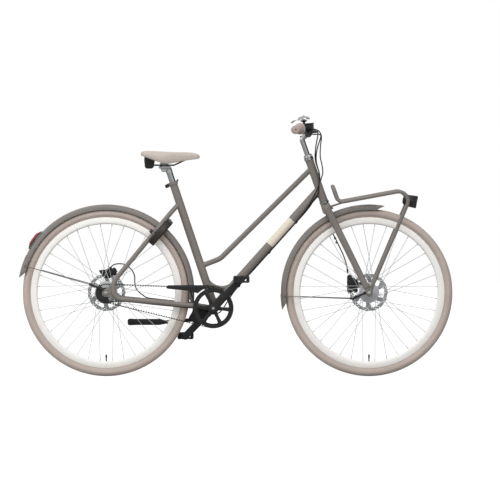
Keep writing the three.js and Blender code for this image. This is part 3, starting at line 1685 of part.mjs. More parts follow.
function cockpit() {
  const pieces = [quillStem(), handlebar(), grip('grip_left', 1, gripLength),
    grip('grip_right', -1, rightGripLength), shiftGrip(), ...bell()];
  for (const side of [-1, 1]) {
    const name = side > 0 ? 'left' : 'right';
    const holder = group(brakePlace(side), 0, [
      brakeBody(`brake_body_${name}`, side),
      brakeLever(`brake_lever_${name}`, side),
    ]);
    holder.quaternion.copy(brakeGrid(side));
    pieces.push(holder);
  }
  return pieces;
}

// Front carrier and its lamp

function rackCorners() {
  const half = [
    V(rackFootLead, rackFootSpread, rackFootHeight),
    V(rackFrontLead, rackHalfWidth, rackFrontHeight),
    V(rackHookLead, rackHalfWidth, rackHookBase),
    V(rackHookLead, rackHalfWidth, rackHookTop),
  ];
  return [...half, ...half.map((point) => onSide(point, -1)).reverse()];
}

// The platform's height at a distance forward of the steering axis.
function rackDeck(lead) {
  const share = (lead - rackHookLead) / (rackFrontLead - rackHookLead);
  return rackHookBase + (rackFrontHeight - rackHookBase) * share;
}

function frontRack() {
  const half = [rackFrontBend, rackBendRadius, rackBendRadius];
  const pieces = [bentTube(rackCorners(), rackTubeRadius, [...half, ...half.slice().reverse()], 8, 3)];
  for (let i = 0; i < rackSlats; i += 1) {
    const lead = rackHookLead + rackFirstSlat + i * rackSlatPitch;
    const deck = rackDeck(lead);
    pieces.push(rod(V(lead, -rackHalfWidth, deck), V(lead, rackHalfWidth, deck), rackRodRadius));
  }
  for (const side of [-1, 1]) {
    const y = side * rackHalfWidth * rackRailShare;
    const first = rackHookLead + rackFirstSlat - rackRodRadius;
    const last = rackHookLead + rackFirstSlat + (rackSlats - 1) * rackSlatPitch + rackRodRadius;
    pieces.push(rod(V(first, y, rackDeck(first)), V(last, y, rackDeck(last)), rackRodRadius));
    const foot = V(rackFootLead, side * rackFootSpread, rackFootHeight);
    const tabMiddle = side * (frontOverLocknut / 2 + forkEndThickness + gap + rackTabThickness / 2);
    const tab = outline([
      V2(foot.x - rackTubeRadius, foot.z + rackTubeRadius), V2(foot.x + rackTubeRadius, foot.z),
      V2(forkOffset + forkEndRadius, 0), V2(forkOffset + locknutRadius + 2 * gap, 0),
      V2(forkOffset + locknutRadius / 2, locknutRadius + 2 * gap),
    ]);
    pieces.push(sidePlate(tab, tabMiddle, rackTabThickness));
    const boltInner = frontOverLocknut / 2 + forkEndThickness + gap;
    const boltAway = forkEndRadius * rackBoltShare;
    pieces.push(rod(
      V(forkOffset + boltAway, side * boltInner, boltAway),
      V(forkOffset + boltAway, side * (boltInner + rackTabThickness + rackRodRadius), boltAway),
      rackRodRadius,
    ));
  }
  const crownFace = crownDepth / 2 + gap;
  const firstLead = rackHookLead + rackFirstSlat;
  const crownFoot = V(crownFace, 0, rackCrownHeight);
  const washer = V(crownFace + rackTabThickness, 0, rackCrownHeight);
  pieces.push(rod(crownFoot, V(firstLead, 0, rackDeck(firstLead)), rackRodRadius + gap, 10));
  pieces.push(rod(crownFoot, washer, 2 * rackRodRadius, 12));
  pieces.push(rod(
    V(lampBarLead, -lampBarHalf, lampBarHeight),
    V(lampBarLead, lampBarHalf, lampBarHeight),
    rackRodRadius,
  ));
  const plate = box(
    V(-rackSlatWidth / 2, -rackHalfWidth * rackRailShare, 0),
    V(rackSlatWidth / 2, rackHalfWidth * rackRailShare, rackSlatThickness),
  );
  const plateLead = rackHookLead + rackFirstSlat + rackSlatPitch * (rackSlats - 1) / 2;
  const slope = Math.atan2(rackHookBase - rackFrontHeight, rackFrontLead - rackHookLead) / degree;
  pieces.push(plate.rotate([0, slope, 0]).translate([plateLead, 0, rackDeck(plateLead)]));
  const nutRoom = rod(
    V(forkOffset, -barEndSpread, 0),
    V(forkOffset, barEndSpread, 0),
    locknutRadius + 2 * gap,
    12,
  );
  return mesh('front_rack', joined(pieces).subtract(nutRoom), frameGrey, 0.5, 0.1);
}

function headlight() {
  const half = lampHeight / 2;
  const body = sidePlate(outline([
    V2(-lampDepth / 2, -half * lampBackShare), V2(-lampDepth / 4, -half), V2(lampDepth / 2, -half),
    V2(lampDepth / 2, half), V2(-lampDepth / 4, half), V2(-lampDepth / 2, half * lampBackShare),
  ]), 0, lampWidth, lampBevel);
  const turn = lampTilt * degree;
  const rise = V(lampBarLead - lampLead, 0, lampBarHeight - lampPlaceHeight)
    .applyAxisAngle(V(0, 1, 0), -turn);
  const clip = box(
    V(rise.x - lampClip, -lampClip, rise.z - lampClip),
    V(0, lampClip, rise.z + lampClip),
  );
  const bar = rod(
    V(rise.x, -lampWidth, rise.z),
    V(rise.x, lampWidth, rise.z),
    clearRadius(rackRodRadius, 12),
    12,
  );
  const pocket = box(
    V(lampDepth / 2 - lampLensDepth, -lampWidth / 2 + lampRim, -half + lampRim),
    V(lampDepth / 2 + overrun, lampWidth / 2 - lampRim, half - lampRim),
  );
  const housing = cut(joined([body, clip]), [bar, pocket]);
  const inset = lampRim + gap;
  const lens = box(
    V(lampDepth / 2 - lampLensDepth + gap, -lampWidth / 2 + inset, -half + inset),
    V(lampDepth / 2, lampWidth / 2 - inset, half - inset),
  );
  return group(V(lampLead, 0, lampPlaceHeight), turn, [
    mesh('headlight_housing', housing, blackPlastic, 0.5),
    mesh('headlight_lens', lens, lensClear, 0.1),
  ]);
}

// Fenders

function fenderSection(radius, halfWidth, wall) {
  const row = (half, height) => fenderOutlineShares.map(([x, y]) => V2(x * half, height + y * fenderArch));
  const outer = row(halfWidth, radius);
  const inner = row(halfWidth - wall, radius - wall);
  return [...outer, ...inner.reverse()];
}

// An arched guard around the Y axis between two angles, with the flap below its rear end.
function fenderBody(start, end, flap) {
  const section = (radius, width, wall) => fenderSection(radius, width, wall)
    .map((point) => V2(point.x, point.y - fenderRadius));
  const arc = (radius, from, to, steps) => arcPath(V(0, 0, 0), radius, from, to, steps);
  const half = fenderWidth / 2;
  const guard = sweep(arc(fenderRadius, start, end, fenderSteps), section(fenderRadius, half, fenderWall));
  const skirt = sweep(
    arc(fenderRadius + flapLip / 2, end - flapOverlap, flap, flapSteps),
    section(fenderRadius, half - fenderWall, flapLip),
  );
  return guard.add(skirt);
}

// Two wires from the fender's edge to the axle's side, with a clip around each.
function fenderWires(angle, foot, outer) {
  const pieces = [];
  const edge = fenderRadius - fenderArch / 2;
  for (const side of [-1, 1]) {
    const top = V(
      edge * Math.cos(angle * degree),
      side * fenderWidth * fenderWireShare,
      edge * Math.sin(angle * degree),
    );
    const end = V(foot.x, side * outer, foot.z);
    pieces.push(rod(top, end, fenderStayRadius, 6));
    pieces.push(rod(
      V(end.x, end.y - side * fenderStayRadius, end.z),
      V(end.x, end.y + side * fenderStayRadius, end.z),
      fenderEyeRadius,
      10,
    ));
    const clip = top.clone().lerp(end, fenderClipShare);
    const clipEnd = top.clone().lerp(end, fenderClipEndShare);
    pieces.push(rod(clip, clipEnd, fenderStayRadius + rackRodRadius, 8));
  }
  return pieces;
}

function frontFender() {
  const outer = frontOverLocknut / 2 + forkEndThickness + gap + fenderStayRadius;
  const wires = fenderWires(frontWireAngle, V(-frontWireFoot, 0, -frontWireFoot / 3), outer);
  const crownBase = headTubeStart - lowerCupHeight - crownHeight;
  const bracket = box(
    V(-fenderBracketHalf - forkOffset, -fenderBracketHalf, fenderRadius - fenderArch),
    V(fenderBracketHalf - forkOffset, fenderBracketHalf, crownBase - gap),
  ).rotate([0, headAngle - 90, 0]);
  const body = joined([fenderBody(frontFenderStart, frontFenderEnd, frontFlapEnd), bracket, ...wires]);
  return mesh('front_fender', body, frameGrey, 0.55, 0.1);
}

function rearFender() {
  const outer = rearOverLocknut / 2 + dropoutThickness + gap + fenderStayRadius;
  const wires = fenderWires(rearWireAngle, V(-rearWireFoot, 0, rearWireFoot), outer);
  const body = joined([fenderBody(rearFenderStart, rearFenderEnd, rearFlapEnd), ...wires]);
  return mesh('rear_fender', body, frameGrey, 0.55, 0.1);
}

function tailLight() {
  const half = tailLightLength / 2;
  const block = sidePlate(outline([
    V2(-half, -tailLightSeat),
    V2(half, -tailLightSeat),
    V2(half * tailLightTopShare, tailLightDepth),
    V2(0, tailLightDepth),
    V2(-half * tailLightFootShare, tailLightDepth * tailLightEdgeShare),
  ]), 0, tailLightWidth, lampBevel);
  const place = fenderRadius;
  const angle = tailLightAngle * degree;
  const section = fenderSection(gap, fenderWidth / 2, fenderWall + tailLightDepth);
  const below = sweep(arcPath(V(0, 0, 0), fenderRadius, rearFenderStart, rearFenderEnd, fenderSteps), section)
    .rotate([0, tailLightAngle - 90, 0]).translate([0, 0, -place]);
  const light = mesh('tail_light', block.subtract(below), lampRed, 0.25);
  return group(
    V(rearAxle.x + place * Math.cos(angle), 0, rearAxle.z + place * Math.sin(angle)),
    Math.PI / 2 - angle,
    [light],
  );
}

// Brakes: the grid's X points from the axle outwards, its Z along the disc's rim.
function caliper(discOffset, outerY, length) {
  const inner = caliperInner;
  const outer = caliperOuter;
  const half = length / 2;
  const near = discOffset - caliperInside;
  const side = [
    [inner, half * caliperRootShare],
    [inner + lampBevel, half * caliperShoulderShare],
    [outer - lampBevel, half],
    [outer, half * caliperTopShare],
  ];
  const body = sidePlate(
    outline([...side.map(([x, z]) => V2(x, -z)), ...side.reverse().map(([x, z]) => V2(x, z))]),
    (near + outerY) / 2,
    outerY - near,
    lampBevel,
  );
  const slot = box(
    V(inner - overrun, discOffset - rotorThickness / 2 - caliperSlot, -length),
    V(rotorRadius + caliperSlot, discOffset + rotorThickness / 2 + caliperSlot, length),
  );
  const port = rod(
    V(outer - lampBevel, outerY - caliperPortInset, half / 2),
    V(outer + lampBevel, outerY - caliperPortInset, half / 2),
    caliperPort,
    10,
  );
  return joined([body, port]).subtract(slot);
}

function placed(body, angle, x, z) {
  return body.rotate([0, -angle, 0]).translate([x, 0, z]);
}

function frontCaliper() {
  const legs = ovalRod(
    V(forkLegTopLead, crownHalfWidth, forkLegTop),
    V(forkOffset - forkLegEndLead, forkLegSpread, forkLegEndLift),
    forkLegDepth + 2 * gap,
    forkLegWidth + 2 * gap,
    forkLegTaperShare,
  );
  const upright = caliper(frontRotorOffset, frontCaliperOuter, frontCaliperLength);
  const lug = box(
    V(0, frontCaliperOuter - caliperLugDepth, caliperLugHeight - caliperLugHalf),
    V(forkOffset - forkEndRadius / 2, frontCaliperOuter, caliperLugHeight + caliperLugHalf),
  );
  const body = placed(upright, frontCaliperAngle, forkOffset, 0).add(lug);
  return mesh('front_brake_caliper', body.subtract(legs), blackMetal, 0.45, 0.4);
}

function rearCaliper() {
  const upright = caliper(rearRotorOffset, rearCaliperOuter, rearCaliperLength);
  const body = placed(upright, rearCaliperAngle, rearAxle.x, rearAxle.z);
  return mesh('rear_brake_caliper', body.subtract(stayTube(1, gap)), blackMetal, 0.45, 0.4);
}

// The gear hub's cable joint beside the sprocket.
function gearJoint() {
  const middle = -(gearJointFrom + gearJointThickness / 2);
  const arm = outline([
    ...arcPoints(gearJointOuter, gearJointStart, gearJointEnd, gearJointSteps),
    V2(0, 0),
  ]);
  const disc = outline(circle(gearJointInner, 20));
  const hole = outline(boreCircle(driverRadius, 16));
  const body = sidePlate(arm, middle, gearJointThickness)
    .add(sidePlate(disc, middle, gearJointThickness))
    .subtract(sidePlate(hole, middle, gearJointThickness + overrun));
  return mesh('gear_cassette_joint', body.translate([rearAxle.x, 0, rearAxle.z]), blackPlastic, 0.5);
}

function beltGuard() {
  const lower = arcPoints(guardArcRadius, guardArcStart, guardArcEnd, guardSteps)
    .map((point) => V2(point.x, shellHeight + point.y));
  const top = shellHeight + guardTop;
  const face = outline([
    V2(-guardRear, top - guardTaper),
    V2(-guardRear * guardRearShare, top),
    V2(-guardFront * guardFrontShare, top),
    V2(guardFront * guardTipShare, top - guardTaper),
    V2(lower[0].x, lower[0].y + guardTaper / 2),
    ...lower,
  ]);
  const plate = sidePlate(face, -guardPlate, guardThickness);
  const shelf = box(
    V(-guardRear * guardRearShare, -guardPlate, top - guardThickness),
    V(-guardFront * guardFrontShare, -guardPlate + guardShelf, top),
  );
  const tabX = seatPoint((top - shellHeight) / Math.sin(seatAngle * degree)).x;
  const tab = box(
    V(tabX - seatTubeRadius * guardTabShare, -guardPlate, top - guardTabHeight),
    V(tabX + seatTubeRadius * guardTabShare, 0, top),
  );
  const clear = rod(seatPoint(0), seatPoint(seatTubeLength), seatTubeRadius + gap, 16);
  return mesh('belt_guard', joined([plate, shelf, tab]).subtract(clear), blackPlastic, 0.5);
}

// Ring lock, drawn upright: Y across the wheel, Z away from the hub, X along the rim.
function lockArc(radius, from, to, section) {
  return sweep(arcPath(V(0, 0, 0), radius, from, to, lockSteps), section).rotate([0, 0, 90]);
}

function lockHousing() {
  const half = lockThickness / 2;
  const depth = (lockOuterRadius - lockInnerRadius) / 2;
  const bevel = half / 3;
  const section = [
    V2(-half + bevel, -depth), V2(half - bevel, -depth), V2(half, -depth + bevel), V2(half, depth - bevel),
    V2(half - bevel, depth), V2(-half + bevel, depth), V2(-half, depth - bevel), V2(-half, -depth + bevel),
  ];
  const middle = (lockOuterRadius + lockInnerRadius) / 2;
  const mouth = lockMouthAngle - 90;
  const farMouth = 270 - lockMouthAngle;
  const body = lockArc(middle, mouth, farMouth, section);
  const bore = circle(shackleRadius + gap + caliperSlot / 2, 6);
  const roomEnd = shackleRest + shackleArc + lockRoomAngle;
  const room = lockArc(lockChannelRadius, mouth - overrun, roomEnd, bore);
  const pocket = lockArc(lockChannelRadius, farMouth - lockPocketAngle, farMouth + overrun, bore);
  const slotSection = [
    V2(-lockSlotHalf, 0),
    V2(lockSlotHalf, 0),
    V2(lockSlotHalf, lockOuterRadius),
    V2(-lockSlotHalf, lockOuterRadius),
  ];
  const slot = lockArc(lockChannelRadius, lockSlotStart, lockSlotEnd, slotSection);
  const keyBoss = rod(V(-half - lampBevel, -middle, 0), V(half / 2, -middle, 0), lockKeyRadius, 14);
  const lugs = [-1, 1].map((side) => box(
    V(-half - lockLugReach, side * (lockLugSpread - lockLugWidth / 2), lockLugRise),
    V(0, side * (lockLugSpread + lockLugWidth / 2), lockLugRise + lockLugWidth),
  ));
  return { body: cut(body, [room, pocket, slot]).add(keyBoss), lugs };
}

function lockShackle() {
  const bar = lockArc(lockChannelRadius, shackleRest, shackleRest + shackleArc, circle(shackleRadius, 8));
  const angle = (shackleRest + shackleArc - lockLeverInset) * degree;
  const way = V(0, Math.cos(angle), Math.sin(angle));
  const along = (reach) => way.clone().multiplyScalar(reach);
  const tip = along(lockOuterRadius + lockKeyRadius);
  const stem = rod(along(lockChannelRadius), tip, lockSlotHalf - 2 * gap, 8);
  const knob = rod(along(lockOuterRadius + lockKnobLift), tip, lockKnobRadius, 10);
  return joined([bar, stem, knob]);
}

const lockPlace = V(
  rearAxle.x + lockReach * Math.cos(lockAngle * degree),
  0,
  rearAxle.z + lockReach * Math.sin(lockAngle * degree),
);

function ringLock() {
  const turn = (90 - lockAngle) * degree;
  const { body, lugs } = lockHousing();
  const turnBack = (piece) => piece.rotate([0, turn / degree, 0]).translate([lockPlace.x, 0, lockPlace.z]);
  const stays = [-1, 1].map((side) => stayTube(side, gap));
  const housing = cut(joined([turnBack(body), ...lugs.map(turnBack)]), stays)
    .translate([-lockPlace.x, 0, -lockPlace.z]).rotate([0, -turn / degree, 0]);
  return group(lockPlace, turn, [
    mesh('lock_housing', housing, blackMetal, 0.45, 0.3),
    mesh('lock_shackle', lockShackle(), silver, 0.3, 0.9),
  ]);
}

// Saddle and seatpost

function seatCollar() {
  const ring = rod(V(0, 0, -collarHeight / 2), V(0, 0, collarHeight / 2), collarRadius, 20);
  const ear = box(
    V(-collarRadius - collarEarLength, -collarEarWidth / 2, -collarHeight / 2),
    V(0, collarEarWidth / 2, collarHeight / 2),
  );
  const split = box(
    V(-collarRadius - collarEarLength - overrun, -collarSlitHalf, -collarHeight),
    V(0, collarSlitHalf, collarHeight),
  );
  const boltPlace = -collarRadius - collarEarLength / 2;
  const head = V(boltPlace, -collarEarWidth, 0);
  const bolt = rod(head, V(boltPlace, collarEarWidth / 2, 0), collarBoltRadius, 8);
  const nut = rod(head, V(boltPlace, -collarEarWidth / 2, 0), collarNutRadius, 10);
  const bore = rod(V(0, 0, -collarHeight), V(0, 0, collarHeight), seatTubeRadius + gap, 20);
  return joined([joined([ring, ear]).subtract(split), bolt, nut]).subtract(bore);
}

function seatLever() {
  const cam = rod(V(0, 0, -collarHeight / 2), V(0, 0, collarHeight / 2), leverCamRadius, 12);
  const clear = collarRadius + 2 * gap - collarEarWidth / 2 - gap - leverCamRadius;
  const blade = new THREE.ExtrudeGeometry(new THREE.Shape([
    V2(0, leverCamRadius),
    V2(0, 0),
    V2(seatLeverLength * seatLeverRootShares[0], clear * seatLeverRootShares[1]),
    V2(seatLeverLength * seatLeverBendShare, clear),
    V2(seatLeverLength, clear),
    V2(seatLeverLength, clear + seatLeverThickness),
    V2(seatLeverLength * seatLeverBackShare, clear + seatLeverThickness),
  ]), { depth: collarHeight - 2 * lampBevel, bevelEnabled: false });
  blade.translate(0, 0, -collarHeight / 2 + lampBevel);
  return joined([cam, solid(blade)]);
}

function seatClamp() {
  const place = seatPoint(seatTubeLength - collarHeight / 2);
  const boltPlace = -collarRadius - collarEarLength / 2;
  return group(place, seatTurn, [
    mesh('seat_clamp_collar', seatCollar(), blackMetal, 0.4, 0.5),
    group(V(boltPlace, collarEarWidth / 2 + gap + leverCamRadius, 0), 0, [
      mesh('seat_clamp_lever', seatLever(), blackMetal, 0.35, 0.6),
    ]),
  ]);
}

function seatpost() {
  const post = rod(
    seatPoint(seatTubeLength - seatpostInsert),
    seatPoint(seatTubeLength + seatpostReach),
    seatpostRadius,
    16,
  );
  return mesh('seatpost', post, silver, 0.35, 0.8);
}

function saddleClamp() {
  const base = railHeight - clampDrop;
  const top = railHeight + clampRise;
  const block = sidePlate(outline([
    V2(railPlace - clampLength / 2, railHeight), V2(railPlace - clampLength / 4, base),
    V2(railPlace + clampLength / 4, base), V2(railPlace + clampLength / 2, railHeight),
    V2(railPlace + clampLength / 2, top), V2(railPlace - clampLength / 2, top),
  ]), 0, clampWidth, lampBevel);
  const neckBase = seatPoint(seatTubeLength + seatpostReach + gap);
  const neck = rod(neckBase, V(railPlace, 0, railHeight), seatpostRadius, 16);
  const post = rod(seatPoint(seatTubeLength), neckBase, seatpostRadius + overrun, 16);
  const rails = [-1, 1].map((side) => rod(
    V(railPlace - clampLength, side * railSpread, railHeight),
    V(railPlace + clampLength, side * railSpread, railHeight),
    railRadius + gap,
    10,
  ));
  const bolts = [-1, 1].map((way) => rod(
    V(railPlace + way * clampLength / 4, 0, top - gap),
    V(railPlace + way * clampLength / 4, 0, top + railRadius),
    railRadius,
    6,
  ));
  const body = cut(joined([block, neck]), [post, ...rails]);
  return mesh('saddle_clamp', joined([body, ...bolts]), silver, 0.35, 0.8);
}

function saddleRails() {
  const half = [
    V(railPlace - railRearReach, railSpread, railHeight),
    V(railPlace + railFlatReach, railSpread, railHeight),
    V(railPlace + railNoseReach, railNoseSpread, railHeight + railNoseRise),
  ];
  const corners = [...half, ...half.map((point) => onSide(point, -1)).reverse()];
  return mesh('saddle_rails', bentTube(corners, railRadius, railNoseSpread / 2, 8, 3), blackMetal, 0.4, 0.5);
}

// A padded form along X: an outline in shares of half width and height, scaled at each station.
function saddleForm(outlineAt, stations) {
  const ring = outlineAt(stations[0]).length;
  const geometry = new THREE.CylinderGeometry(1, 1, 1, ring, stations.length - 1);
  const place = geometry.getAttribute('position');
  const length = saddleRearReach + saddleNoseReach;
  for (let i = 0; i < place.count; i += 1) {
    const row = Math.round((0.5 - place.getY(i)) * (stations.length - 1));
    const station = stations[row];
    const points = outlineAt(station);
    const away = Math.hypot(place.getX(i), place.getZ(i));
    const turn = Math.atan2(place.getX(i), place.getZ(i)) / (2 * Math.PI);
    const column = Math.round((turn + 1) * ring) % ring;
    const middle = points.reduce((sum, point) => sum + point[1], 0) / ring;
    const [across, height] = away < 0.5 ? [0, middle] : points[column];
    place.setXYZ(i, railPlace - saddleRearReach + length * station.along, across * saddleWidth / 2,
      railHeight + height * saddleRise);
  }
  return solid(geometry);
}

// The cushion's section: crowned on top with a sewn channel, drawn in at the sides, hollow below.
function coverOutline({ width, top, skirt, hollow }) {
  const scaled = ([x, z]) => [x * width, skirt + (top - skirt) * z];
  const crown = coverCrownShares.map(scaled);
  const under = coverUnderShares.map(([x, z]) => scaled([x, z * hollow]));
  const flip = ([x, z]) => [-x, z];
  return [
    ...crown,
    ...crown.slice(0, -1).reverse().map(flip),
    ...under.map(flip),
    ...under.slice(0, -1).reverse(),
  ];
}

// The stiff shell under the cushion, set into its hollow.
function baseOutline({ width, top, skirt, hollow }) {
  const ceiling = skirt + (top - skirt) * coverUnderShares[coverUnderShares.length - 1][1] * hollow;
  const upper = ceiling - gap / saddleRise;
  const lower = upper - saddleShell / saddleRise;
  const half = width * saddleShellShare;
  const edge = half * baseEdgeShare;
  const inner = half * baseMiddleShare;
  return [
    [half, (upper + lower) / 2], [edge, upper], [inner, upper], [0, upper],
    [-inner, upper], [-edge, upper], [-half, (upper + lower) / 2], [-edge, lower],
    [-inner, lower], [0, lower], [inner, lower], [edge, lower],
  ];
}

function saddleCover() {
  return mesh('saddle_cover', saddleForm(coverOutline, saddleStationShares), saddleBeige, 0.6);
}

function saddleBase() {
  return mesh('saddle_base', saddleForm(baseOutline, saddleStationShares.slice(2, -2)), blackPlastic, 0.5);
}

// The springy block between the rails' rear ends and the shell.
function saddleBumper() {
  const block = sidePlate(outline([
    V2(railPlace - bumperRear, railHeight - bumperDrop),
    V2(railPlace - bumperFront, railHeight - bumperDrop),
    V2(railPlace - bumperFront, railHeight + bumperFrontRise),
    V2(railPlace - bumperRear, railHeight + bumperRearRise),
  ]), 0, 2 * bumperHalfWidth, lampBevel);
  const rails = [-1, 1].map((side) => rod(
    V(railPlace - railRearReach - gap, side * railSpread, railHeight),
    V(railPlace, side * railSpread, railHeight),
    railRadius + gap,
    10,
  ));
  const shell = saddleForm(baseOutline, saddleStationShares.slice(2, -2)).translate([0, 0, -gap]);
  const cushion = saddleForm(coverOutline, saddleStationShares).translate([0, 0, -gap]);
  const [lowest] = cut(block, [...rails, shell, cushion]).decompose()
    .sort((a, b) => a.boundingBox().min[2] - b.boundingBox().min[2]);
  return mesh('saddle_bumper', lowest, rubberBlack, 0.8);
}

// Hoses and the shift cable follow hand-chosen points.

function frontHosePoints() {
  return [
    [70, 96, 712], [79, 72, 708], [74, 52, 672], [52, 40, 630], [42, 30, 590], [36, 26, 552],
    [33, 25, 515], [28, 30, 470], [14, 42, 442], [-10, 46, 424], [-31, 48, 404], [-33, 48, 376],
    [-22, 48, 344], [-10.5, 48, 300], [-6, 49, 262], [-2, 50, 225], [2, 48, 180], [2, 45, 140],
    [-3, 44, 108],
  ].map(([x, y, z]) => V(x, y, z));
}

function frontHose() {
  return mesh('front_brake_hose', cable(frontHosePoints(), hoseRadius, 1), rubberBlack, 0.6);
}

// A point on the down tube's surface at an angle from its underside towards the right.
function cablePlace(distance, angle, radius) {
  const away = downTubeRadius + radius + gap;
  return downTubePoint(distance, -away * Math.cos(angle * degree), -away * Math.sin(angle * degree));
}

function rearHose() {
  const upper = [
    [445, -94, 1030], [443, -78, 1021], [434, -60, 990], [428, -42, 952], [432, -31, 918], [440, -26, 896],
    [447, -25, 860], [448, -24, 824], [444, -23, 795],
  ];
  const down = [
    [650, 68], [618, 52], [600, 38], [580, 24], [560, 10], [535, -3], [510, -8], [400, -8], [250, -8],
    [110, -8],
  ].map(([distance, angle]) => cablePlace(distance, angle, hoseRadius));
  const rear = [
    [30, 0, 270.5], [15, 8, 263], [2, 18, 260.5], [-14, 38, 262], [-26, 48, 276], [-44, 50, 296],
    [-77, 46.5, 306.5], [-150, 52.5, 313], [-250, 63, 323.5], [-283, 64.5, 329], [-300, 61, 341],
    [-318, 58, 356], [-328, 56, 374], [-331, 54, 396],
    [-332, 52, 420], [-341, 50, 441], [-358, 50, 459], [-376, 50, 468.5], [-400, 52, 471], [-418, 54, 466.5],
  ];
  const points = [...upper.map((point) => V(...point)), ...down, ...rear.map((point) => V(...point))];
  return mesh('rear_brake_hose', cable(points, hoseRadius, 1), rubberBlack, 0.6);
}

function shiftCable() {
  const upper = [
    [462, -122, 1022], [470, -104, 1012], [468, -82, 975], [456, -60, 935], [447, -44, 905], [444, -34, 880],
    [446, -31.5, 850], [446, -31, 820], [438, -30, 790],
  ];
  const down = [
    [610, 72], [590, 58], [570, 44], [550, 30], [525, 18], [500, 15], [400, 15], [250, 15], [110, 15],
  ].map(([distance, angle]) => cablePlace(distance, angle, cableRadius));
  const rear = [
    [30, -5, 270.5], [14, -8, 262.5], [-6, -11, 261], [-30, -15, 266], [-52, -20, 280],
    [-80, -29.5, 286], [-105, -30.5, 288.5], [-170, -37, 294.5], [-250, -45.5, 302.5],
    [-330, -54, 311.5], [-370, -59, 315], [-396, -64.3, 316.5],
    [-414, -64.5, 315], [-432, -64.5, 313],
  ];
  const points = [...upper.map((point) => V(...point)), ...down, ...rear.map((point) => V(...point))];
  return mesh('shift_cable', cable(points, cableRadius, 1), rubberBlack, 0.6);
}

// The whole bicycle

function frontWheel() {
  return group(V(forkOffset, 0, 0), -steerTurn, [
    tyre('front_tyre'),
    rim('front_rim', -Math.PI / 2),
    frontHub(),
    rotor('front_rotor', frontRotorOffset),
  ]);
}

function rearWheel() {
  return group(rearAxle, 0, [
    tyre('rear_tyre'),
    rim('rear_rim', -Math.PI / 2),
    rearHub(),
    rotor('rear_rotor', rearRotorOffset),
    rearSprocket(),
  ]);
}

function steering() {
  const frontGuard = group(V(forkOffset, 0, 0), -steerTurn, [frontFender()]);
  const frontAxlePiece = group(V(forkOffset, 0, 0), -steerTurn, [
    axle('front_axle', frontAxleRadius, frontOverLocknut, forkEndThickness),
  ]);
  return group(steerOrigin, steerTurn, [
    fork(),
    ...cockpit(),
    frontRack(),
    headlight(),
    frontGuard,
    frontAxlePiece,
    frontCaliper(),
    frontHose(),
    frontWheel(),
  ]);
}

function cranks() {
  const turned = -crankAngle * degree;
  const tip = V(crankLength, 0, 0);
  return group(shellCentre, 0, [
    group(V(0, 0, 0), turned, [
      crankRight(),
      group(tip, -turned, [pedal('pedal_right', -1)]),
    ]),
    group(V(0, 0, 0), turned + Math.PI, [
      crankLeft(),
      group(tip, -turned - Math.PI, [pedal('pedal_left', 1)]),
    ]),
    beltRing(),
    bottomBracket(),
  ]);
}

function seat() {
  return [seatClamp(), seatpost(), saddleClamp(), saddleRails(), saddleBase(), saddleCover(), saddleBumper()];
}

function wholeBicycle() {
  const bicycle = new THREE.Group();
  bicycle.name = 'step_through_bicycle';
  bicycle.add(
    mainFrame(),
    stay('right_stay', -1),
    stay('left_stay', 1),
    headsetCups(),
    group(rearAxle, 0, [axle('rear_axle', rearAxleRadius, rearOverLocknut, dropoutThickness), rearFender()]),
    gearJoint(),
    rearCaliper(),
    rearHose(),
    shiftCable(),
    beltGuard(),
    driveBelt(),
    tailLight(),
    ringLock(),
    kickstand(),
    ...seat(),
    steering(),
    rearWheel(),
    cranks(),
  );
  bicycle.updateMatrixWorld(true);
  const bounds = new THREE.Box3().setFromObject(bicycle, true);
  const middle = bounds.getCenter(V(0, 0, 0));
  bicycle.position.set(-middle.x, -middle.y, -bounds.min.z);
  bicycle.updateMatrixWorld(true);
  return bicycle;
}

export default wholeBicycle();
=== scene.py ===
import json
from math import atan2, cos, degrees, hypot, pi, radians, sin, sqrt, tan

import bpy
from mathutils import Matrix, Vector

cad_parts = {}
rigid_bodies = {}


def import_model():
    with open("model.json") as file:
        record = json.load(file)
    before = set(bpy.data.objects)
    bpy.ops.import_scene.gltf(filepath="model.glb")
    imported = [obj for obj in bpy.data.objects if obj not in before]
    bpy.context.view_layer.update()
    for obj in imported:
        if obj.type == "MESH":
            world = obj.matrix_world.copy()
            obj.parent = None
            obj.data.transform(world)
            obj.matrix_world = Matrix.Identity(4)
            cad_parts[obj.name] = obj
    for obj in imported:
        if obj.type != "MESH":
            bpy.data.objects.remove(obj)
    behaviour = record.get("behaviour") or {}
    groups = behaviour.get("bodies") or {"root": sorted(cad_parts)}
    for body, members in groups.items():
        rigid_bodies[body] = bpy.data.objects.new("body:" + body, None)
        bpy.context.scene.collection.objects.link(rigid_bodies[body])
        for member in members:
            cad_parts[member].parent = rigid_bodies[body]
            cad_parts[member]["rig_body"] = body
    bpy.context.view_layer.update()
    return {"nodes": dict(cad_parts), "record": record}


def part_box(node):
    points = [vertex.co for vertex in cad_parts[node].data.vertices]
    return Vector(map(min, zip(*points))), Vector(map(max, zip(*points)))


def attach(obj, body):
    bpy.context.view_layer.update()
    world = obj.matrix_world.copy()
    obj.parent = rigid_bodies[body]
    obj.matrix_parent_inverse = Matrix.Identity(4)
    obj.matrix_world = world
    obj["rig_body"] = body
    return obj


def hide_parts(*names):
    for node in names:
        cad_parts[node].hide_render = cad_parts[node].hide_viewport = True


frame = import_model()
SLOT_OF = {part["node"]: part["material_slot"] for part in frame["record"]["subparts"]}
REBUILT = set()

# Driving sizes in metres; places on the steering and crank grids, and heights on them, in millimetres

